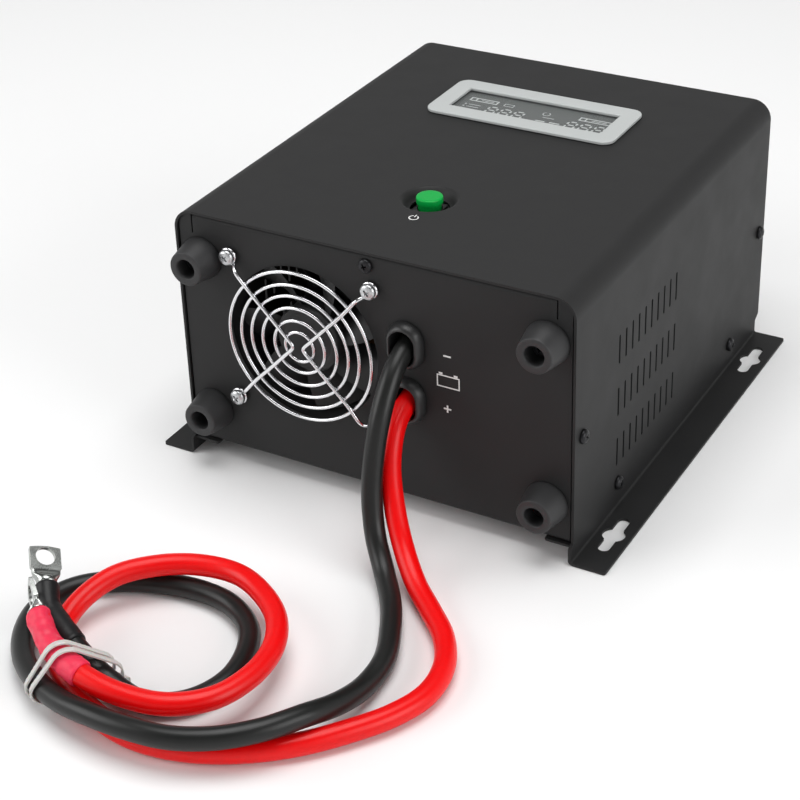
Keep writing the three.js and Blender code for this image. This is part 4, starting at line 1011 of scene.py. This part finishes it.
def printed(name, loops, on_top=False):
    """A flat mark just off the front wall, as (x, z) loops, or just off the top, as (x, y) loops."""
    mesh = flat_fill(loops)
    for vertex in mesh.vertices:
        a, b = vertex.co.x, vertex.co.y
        vertex.co = at(a, b, TOP + PRINT_LIFT) if on_top else at(a, WALL_FRONT - PRINT_LIFT, b)
    return dress(linked(name, mesh), "case_paint", "print_white")


def bar(cx, cy, width, height):
    return [(cx - width / 2, cy - height / 2), (cx + width / 2, cy - height / 2),
            (cx + width / 2, cy + height / 2), (cx - width / 2, cy + height / 2)]


def ring_loops(cx, cy, outer, inner, gap=0.0, count=48):
    """An open ring around a gap at its top, as one loop, or a closed one as two."""
    if not gap:
        return [circle(cx, cy, outer, count), circle(cx, cy, inner, count)]
    first, last = math.pi / 2 + gap, math.pi / 2 + TAU - gap
    return [arc_points(cx, cy, outer, first, last, count) + arc_points(cx, cy, inner, last, first, count)]


printed("mark_minus", [bar(37.9, 85.5, 3.6, 0.8)])
plus = [(-1.8, -0.4), (-0.4, -0.4), (-0.4, -1.8), (0.4, -1.8), (0.4, -0.4), (1.8, -0.4), (1.8, 0.4),
        (0.4, 0.4), (0.4, 1.8), (-0.4, 1.8), (-0.4, 0.4), (-1.8, 0.4)]
printed("mark_plus", [[(37.6 + x, 59.5 + z) for x, z in plus]])
printed("mark_cell", [bar(38.2, 73.0, 11.0, 6.0), bar(38.2, 73.0, 9.8, 4.8)])
printed("mark_cell_posts", [bar(34.6, 76.6, 1.8, 1.0), bar(41.8, 76.6, 1.8, 1.0)])
printed("mark_power_ring", ring_loops(2.8, 37.4, 2.3, 1.7, gap=0.5), on_top=True)
printed("mark_power_bar", [bar(2.8, 39.2, 0.6, 2.4)], on_top=True)


# ---- display ----
def build_display():
    outer = rounded(0, DISPLAY_Y, 98, 42, 6, 12)
    inner = rounded(0, DISPLAY_Y, 80, 23, 0.4, 2)
    sheet_piece("bezel_plate", [outer, inner], lambda x, y: (x, y, TOP + 1.1), "bezel_grey", thickness=1.55,
                bevel=0.35, nodes=["display_bezel"])
    collar = rounded(0, DISPLAY_Y, 89.2, 33.2, 1.0, 3)
    pocket = rounded(0, DISPLAY_Y, 84.6, 27.6, 0.5, 2)
    sheet_piece("bezel_collar", [collar, pocket], lambda x, y: (x, y, TOP - 1.1), "bezel_grey", thickness=2.9,
                bevel=0.2)
    pane = rounded(0, DISPLAY_Y, 83.8, 26.8, 0.4, 2)
    sheet_piece("display_pane", [pane], lambda x, y: (x, y, TOP - 0.05), "window_clear", thickness=0.3,
                bevel=0.05, nodes=["display_window"])
    sheet_piece("display_face", [pane], lambda x, y: (x, y, TOP - 1.1), "display_grey", thickness=1.0,
                bevel=0.1)
    build_segments()


def digit_segments(cx, cy, width, height):
    """The seven bars of one leaning digit."""
    w, h, t, gap, lean = width / 2, height / 2, 1.05, 0.10, 0.05
    bars = []
    for y in (-h, 0, h):
        bars.append([(-w + t / 2 + gap, y), (-w + t + gap, y + t / 2), (w - t - gap, y + t / 2),
                     (w - t / 2 - gap, y), (w - t - gap, y - t / 2), (-w + t + gap, y - t / 2)])
    for x in (-w, w):
        for low, high in ((-h, 0), (0, h)):
            bars.append([(x, low + t / 2 + gap), (x + t / 2, low + t + gap), (x + t / 2, high - t - gap),
                         (x, high - t / 2 - gap), (x - t / 2, high - t - gap), (x - t / 2, low + t + gap)])
    return [[(cx + (x + lean * y), cy + y) for x, y in loop] for loop in bars]


def display_label(x, y, wide):
    """A frame round one long bar, with a small cell at its left end."""
    return [bar(x, y + 1.6, wide, 0.8), bar(x, y - 1.6, wide, 0.8), bar(x - wide / 2 + 0.4, y, 0.8, 2.4),
            bar(x + wide / 2 - 0.4, y, 0.8, 2.4), bar(x - wide / 2 + 3.4, y, 0.8, 2.4),
            bar(x + 2.0, y, wide - 8.4, 0.6)]


def build_segments():
    """Generic figures and frames on the display; each loop is a face of its own, as they overlap."""
    face = TOP - 0.58
    loops = []
    for first_x in (-20.8, 21.4):
        for k in range(3):
            loops += digit_segments(first_x + 7.1 * k, DISPLAY_Y - 4.2, 4.6, 7.4)
        loops.append(circle(first_x + 17.9, DISPLAY_Y - 7.8, 0.4, 10))
    loops += display_label(-28.9, DISPLAY_Y + 4.6, 15.0) + display_label(30.2, DISPLAY_Y + 4.6, 16.4)
    for k in range(3):
        row = DISPLAY_Y - 1.8 - 2.6 * k
        loops += [bar(-31.0, row, 6.4, 0.5), bar(-35.9, row, 0.9, 1.0)]
    loops += [bar(-15.4, DISPLAY_Y + 5.6, 5.2, 0.4), bar(-15.4, DISPLAY_Y + 3.2, 5.2, 0.4)]
    loops += [bar(-17.8, DISPLAY_Y + 4.4, 0.4, 2.0), bar(-13.0, DISPLAY_Y + 4.4, 0.4, 2.0)]
    loops += ring_loops(5.5, DISPLAY_Y + 2.8, 2.0, 1.6, gap=0.4)
    loops += [bar(8.2, DISPLAY_Y - 1.2, 6.0, 0.5), bar(6.0, DISPLAY_Y - 5.8, 5.0, 1.0)]
    loops.append(bar(13.4, DISPLAY_Y - 5.6, 5.4, 1.0))
    vertices, faces = [], []
    for loop in loops:
        faces.append(list(range(len(vertices), len(vertices) + len(loop))))
        vertices += [at(x, y, face) for x, y in loop]
    mesh = bpy.data.meshes.new("display_segments")
    mesh.from_pydata(vertices, [], faces)
    dress(linked("display_segments", mesh), "display_grey", "segments")


build_display()

# ---- push button ----
switch_top = TOP - 4.3
sheet_piece("switch_collar", [rounded(0, BUTTON_Y, 12.1, 12.1, 0.7, 4), circle(0, BUTTON_Y, 5.55, 48)],
            lambda x, y: (x, y, switch_top - 1.0), "black_plastic", thickness=2.0, bevel=0.25,
            nodes=["switch_body"])
body_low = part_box("switch_body")[0].z / MM
body_high = switch_top - 1.2
rings = [[(x, y, z) for x, y in rounded(0, BUTTON_Y, w, w, 0.8, 4)]
         for z, w in ((body_low, 15.4), (body_low + 0.4, 16), (body_high - 0.4, 16), (body_high, 15.4))]
piece("switch_housing", *skin(rings), "black_plastic", angle=40.0)
turned("button_cap", [(0, 1.42), (2.6, 1.43), (4.6, 1.46), (5.35, 1.46), (5.75, 1.3), (5.95, 1.0),
                      (6.0, 0.6), (6.0, -1.4), (5.9, -1.65), (5.2, -1.7), (5.2, -6.8), (4.9, -7.0),
                      (0, -7.0)],
       (0, BUTTON_Y, TOP), "z", "button_green", body="power_button", sides=72, angle=42.0,
       nodes=["power_button"])


# ---- rear end ----
def build_rear():
    face = WALL_REAR + 0.3
    earth_clip = rounded(0, 0, 5.0, 1.0, 0.4, 3)
    for number, x in enumerate(OUTLET_XS, 1):
        plate = [rounded(x, OUTLET_Z, 48, 48, 5, 8), circle(x, OUTLET_Z, 19.8, 72)]
        sheet_piece(f"outlet_plate_{number}", plate, lambda x, z: (x, face + 1.5, z), "black_plastic",
                    thickness=3.0, bevel=0.7, nodes=[f"ac_outlet_{number}"])
        turned(f"outlet_cup_{number}", [(0, -16.0), (19.4, -16.0), (19.7, -15.4), (19.75, 1.0), (20.6, 2.0),
                                        (21.3, 0.2), (21.3, -18.6), (0, -18.6)],
               (x, face, OUTLET_Z), "y", "black_plastic", sides=72, angle=40.0)
        for side, letter in ((-1, "a"), (1, "b")):
            turned(f"outlet_socket_{number}_{letter}",
                   [(2.3, -15.9), (3.3, -15.9), (3.4, -15.5), (3.1, -15.3), (2.4, -15.4)],
                   (x + side * 9.5, face, OUTLET_Z), "y", "black_plastic", look="contact", sides=32,
                   closed=True)
            rings = [[(x + a, face + y, OUTLET_Z + side * (r - b)) for a, b in earth_clip]
                     for y, r in ((-15.6, 16.6), (-12.0, 17.2), (-6.0, 18.6), (-2.4, 19.0))]
            piece(f"outlet_earth_{number}_{letter}", *skin(rings), "black_plastic", "contact", angle=40.0)
    frame_loops = [rounded(INLET_X, INLET_Z, 33, 26, 3, 6), rounded(INLET_X, INLET_Z, 24.4, 16.8, 2.6, 6)]
    sheet_piece("inlet_frame", frame_loops, lambda x, z: (x, face + 1.3, z), "black_plastic", thickness=2.6,
                bevel=0.4, nodes=["ac_inlet"])
    mouth, throat, wall = (24.4, 16.8, 2.6), (2.0, 2.0, 0.9), (27.2, 19.8, 2.8)
    rings = [[(x, face + y, z) for x, z in rounded(INLET_X, INLET_Z, w, h, r, 5)]
             for y, (w, h, r) in ((0.4, mouth), (-13.0, mouth), (-13.0, throat), (-15.8, throat),
                                  (-15.8, wall), (0.4, wall))]
    piece("inlet_shell", *skin(rings, closed_ends=False, cyclic=True), "black_plastic", angle=40.0)
    sheet_piece("inlet_floor", [rounded(INLET_X, INLET_Z, 26.0, 18.6, 2.4, 5)],
                lambda x, z: (x, face - 14.4, z), "black_plastic", thickness=2.4, bevel=0.2)
    for index, (dx, dz) in enumerate(((-7.0, -2.0), (0.0, 2.0), (7.0, -2.0))):
        rings = [[(INLET_X + dx + a, face + y, INLET_Z + dz + b) for a, b in rounded(0, 0, w, h, 0.3, 3)]
                 for y, w, h in ((-13.2, 2.0, 4.0), (-3.4, 2.0, 4.0), (-2.4, 1.2, 3.2))]
        piece(f"inlet_blade_{index + 1}", *skin(rings), "black_plastic", "bright_screws", angle=40.0)
    turned("breaker_neck", [(3.75, -3.0), (3.75, 2.0), (4.1, 2.4), (5.5, 2.4), (5.8, 2.1), (5.8, -3.0)],
           (BREAKER_X, face, BREAKER_Z), "y", "black_plastic", sides=48, closed=True, angle=40.0)
    low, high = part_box("breaker_body")
    y0, y1 = low.y / MM - SHIFT_Y, face - 2.25
    rings = [[(x, y, z) for x, z in rounded(BREAKER_X, BREAKER_Z, 16 - s, 28 - s, 1.2, 4)]
             for y, s in ((y0, 0.8), (y0 + 0.4, 0), (y1 - 0.4, 0), (y1, 0.8))]
    piece("breaker_case", *skin(rings), "black_plastic", angle=40.0, nodes=["breaker_body"])
    nut = [circle(BREAKER_X, BREAKER_Z, 8.5, 6), circle(BREAKER_X, BREAKER_Z, 6.05, 48)]
    sheet_piece("breaker_ring_nut", nut, lambda x, z: (x, face + 0.9, z), "plain_steel", thickness=1.7,
                bevel=0.3, nodes=["breaker_nut"])
    cap_y = WALL_REAR + 1.9
    tip = (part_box("breaker_button")[1].y / MM - SHIFT_Y) - cap_y
    turned("breaker_cap", [(0, tip), (2.3, tip - 0.05), (2.9, tip - 0.35), (3.2, tip - 0.9), (3.25, -7.6),
                           (2.9, -7.9), (0, -7.9)],
           (BREAKER_X, cap_y, BREAKER_Z), "y", "breaker_white", body="breaker_button", sides=48,
           nodes=["breaker_button"])


build_rear()


# ---- inside: the toroid gets its windings, the other frame parts their finishes ----
def build_coil():
    low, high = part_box("transformer_coil")
    cx, cy = (low.x + high.x) / 2 / MM, (low.y + high.y) / 2 / MM - SHIFT_Y
    z0, z1 = low.z / MM, high.z / MM
    middle_r, middle_z, turns = 37.4, (z0 + z1) / 2, 360
    section = rounded(middle_r, middle_z, 36.0, z1 - z0 - 0.6, 9.0, 5)
    rings = []
    for i in range(turns):
        c, s = math.cos(i * TAU / turns), math.sin(i * TAU / turns)
        swell = 0.45 if i % 4 in (1, 2) else 0.0
        ring = []
        for r, z in section:
            out = Vector((r - middle_r, z - middle_z)).normalized() * (swell - 0.5)
            ring.append((cx + (r + out.x) * c, cy + (r + out.x) * s, z + out.y))
        rings.append(ring)
    piece("coil_winding", *skin(rings, cyclic=True), "winding_tape", angle=60.0, nodes=["transformer_coil"])


build_coil()

for name, obj in frame["nodes"].items():
    slot_name = next(s["material_slot"] for s in frame["record"]["subparts"] if s["node"] == name)
    obj.data.materials.clear()
    obj.data.materials.append(FINISHES[slot_name])
    if not obj.hide_render:
        smooth(obj.data, 30)

# ---- floor, lights and world ----
floor_mesh = bpy.data.meshes.new("floor")
FLOOR_HALF, FLOOR_Z = 4, -0.0002  # metres
floor_mesh.from_pydata([(x, y, FLOOR_Z) for x, y in bar(0, 0, 2 * FLOOR_HALF, 2 * FLOOR_HALF)], [],
                       [(0, 1, 2, 3)])
floor = linked("floor", floor_mesh)
floor_look = bpy.data.materials.new("floor")
floor_look.use_nodes = True
floor_shader = floor_look.node_tree.nodes["Principled BSDF"]
floor_shader.inputs["Base Color"].default_value = (0.90, 0.90, 0.90, 1)
floor_shader.inputs["Roughness"].default_value = 0.9
floor_shader.inputs["Specular IOR Level"].default_value = 0.1
floor_mesh.materials.append(floor_look)


def area_light(name, location, target, size, power):
    """A square light; places and size are in metres."""
    data = bpy.data.lights.new(name, "AREA")
    data.shape = "RECTANGLE"
    data.size = data.size_y = size
    data.energy = power
    obj = linked(name, data)
    obj.location = location
    obj.rotation_euler = (Vector(target) - Vector(location)).to_track_quat("-Z", "Y").to_euler()


area_light("overhead", (0.0, 0.0, 1.8), (0, 0, 0), 1.3, 25.0)
area_light("left_front", (-1.3, -1.0, 0.9), (0, 0, 0.05), 1.1, 13.0)
area_light("right_side", (1.6, -0.3, 0.7), (0, 0, 0.05), 1.0, 12.0)

world = bpy.data.worlds.new("studio")
world.use_nodes = True
sky = world.node_tree
sky_height = sky.nodes.new("ShaderNodeSeparateXYZ")
sky.links.new(sky.nodes.new("ShaderNodeTexCoord").outputs["Generated"], sky_height.inputs["Vector"])
sky_tone = sky.nodes.new("ShaderNodeValToRGB")
for stop, position, grey in ((0, 0.42, 1.0), (1, 0.62, 0.10)):
    sky_tone.color_ramp.elements[stop].position = position
    sky_tone.color_ramp.elements[stop].color = (grey, grey, grey, 1)
sky.links.new(sky_height.outputs["Z"], sky_tone.inputs["Fac"])
sky.links.new(sky_tone.outputs["Color"], sky.nodes["Background"].inputs["Color"])
sky.nodes["Background"].inputs["Strength"].default_value = 0.62
bpy.context.scene.world = world
bpy.context.scene.view_settings.view_transform = "Standard"
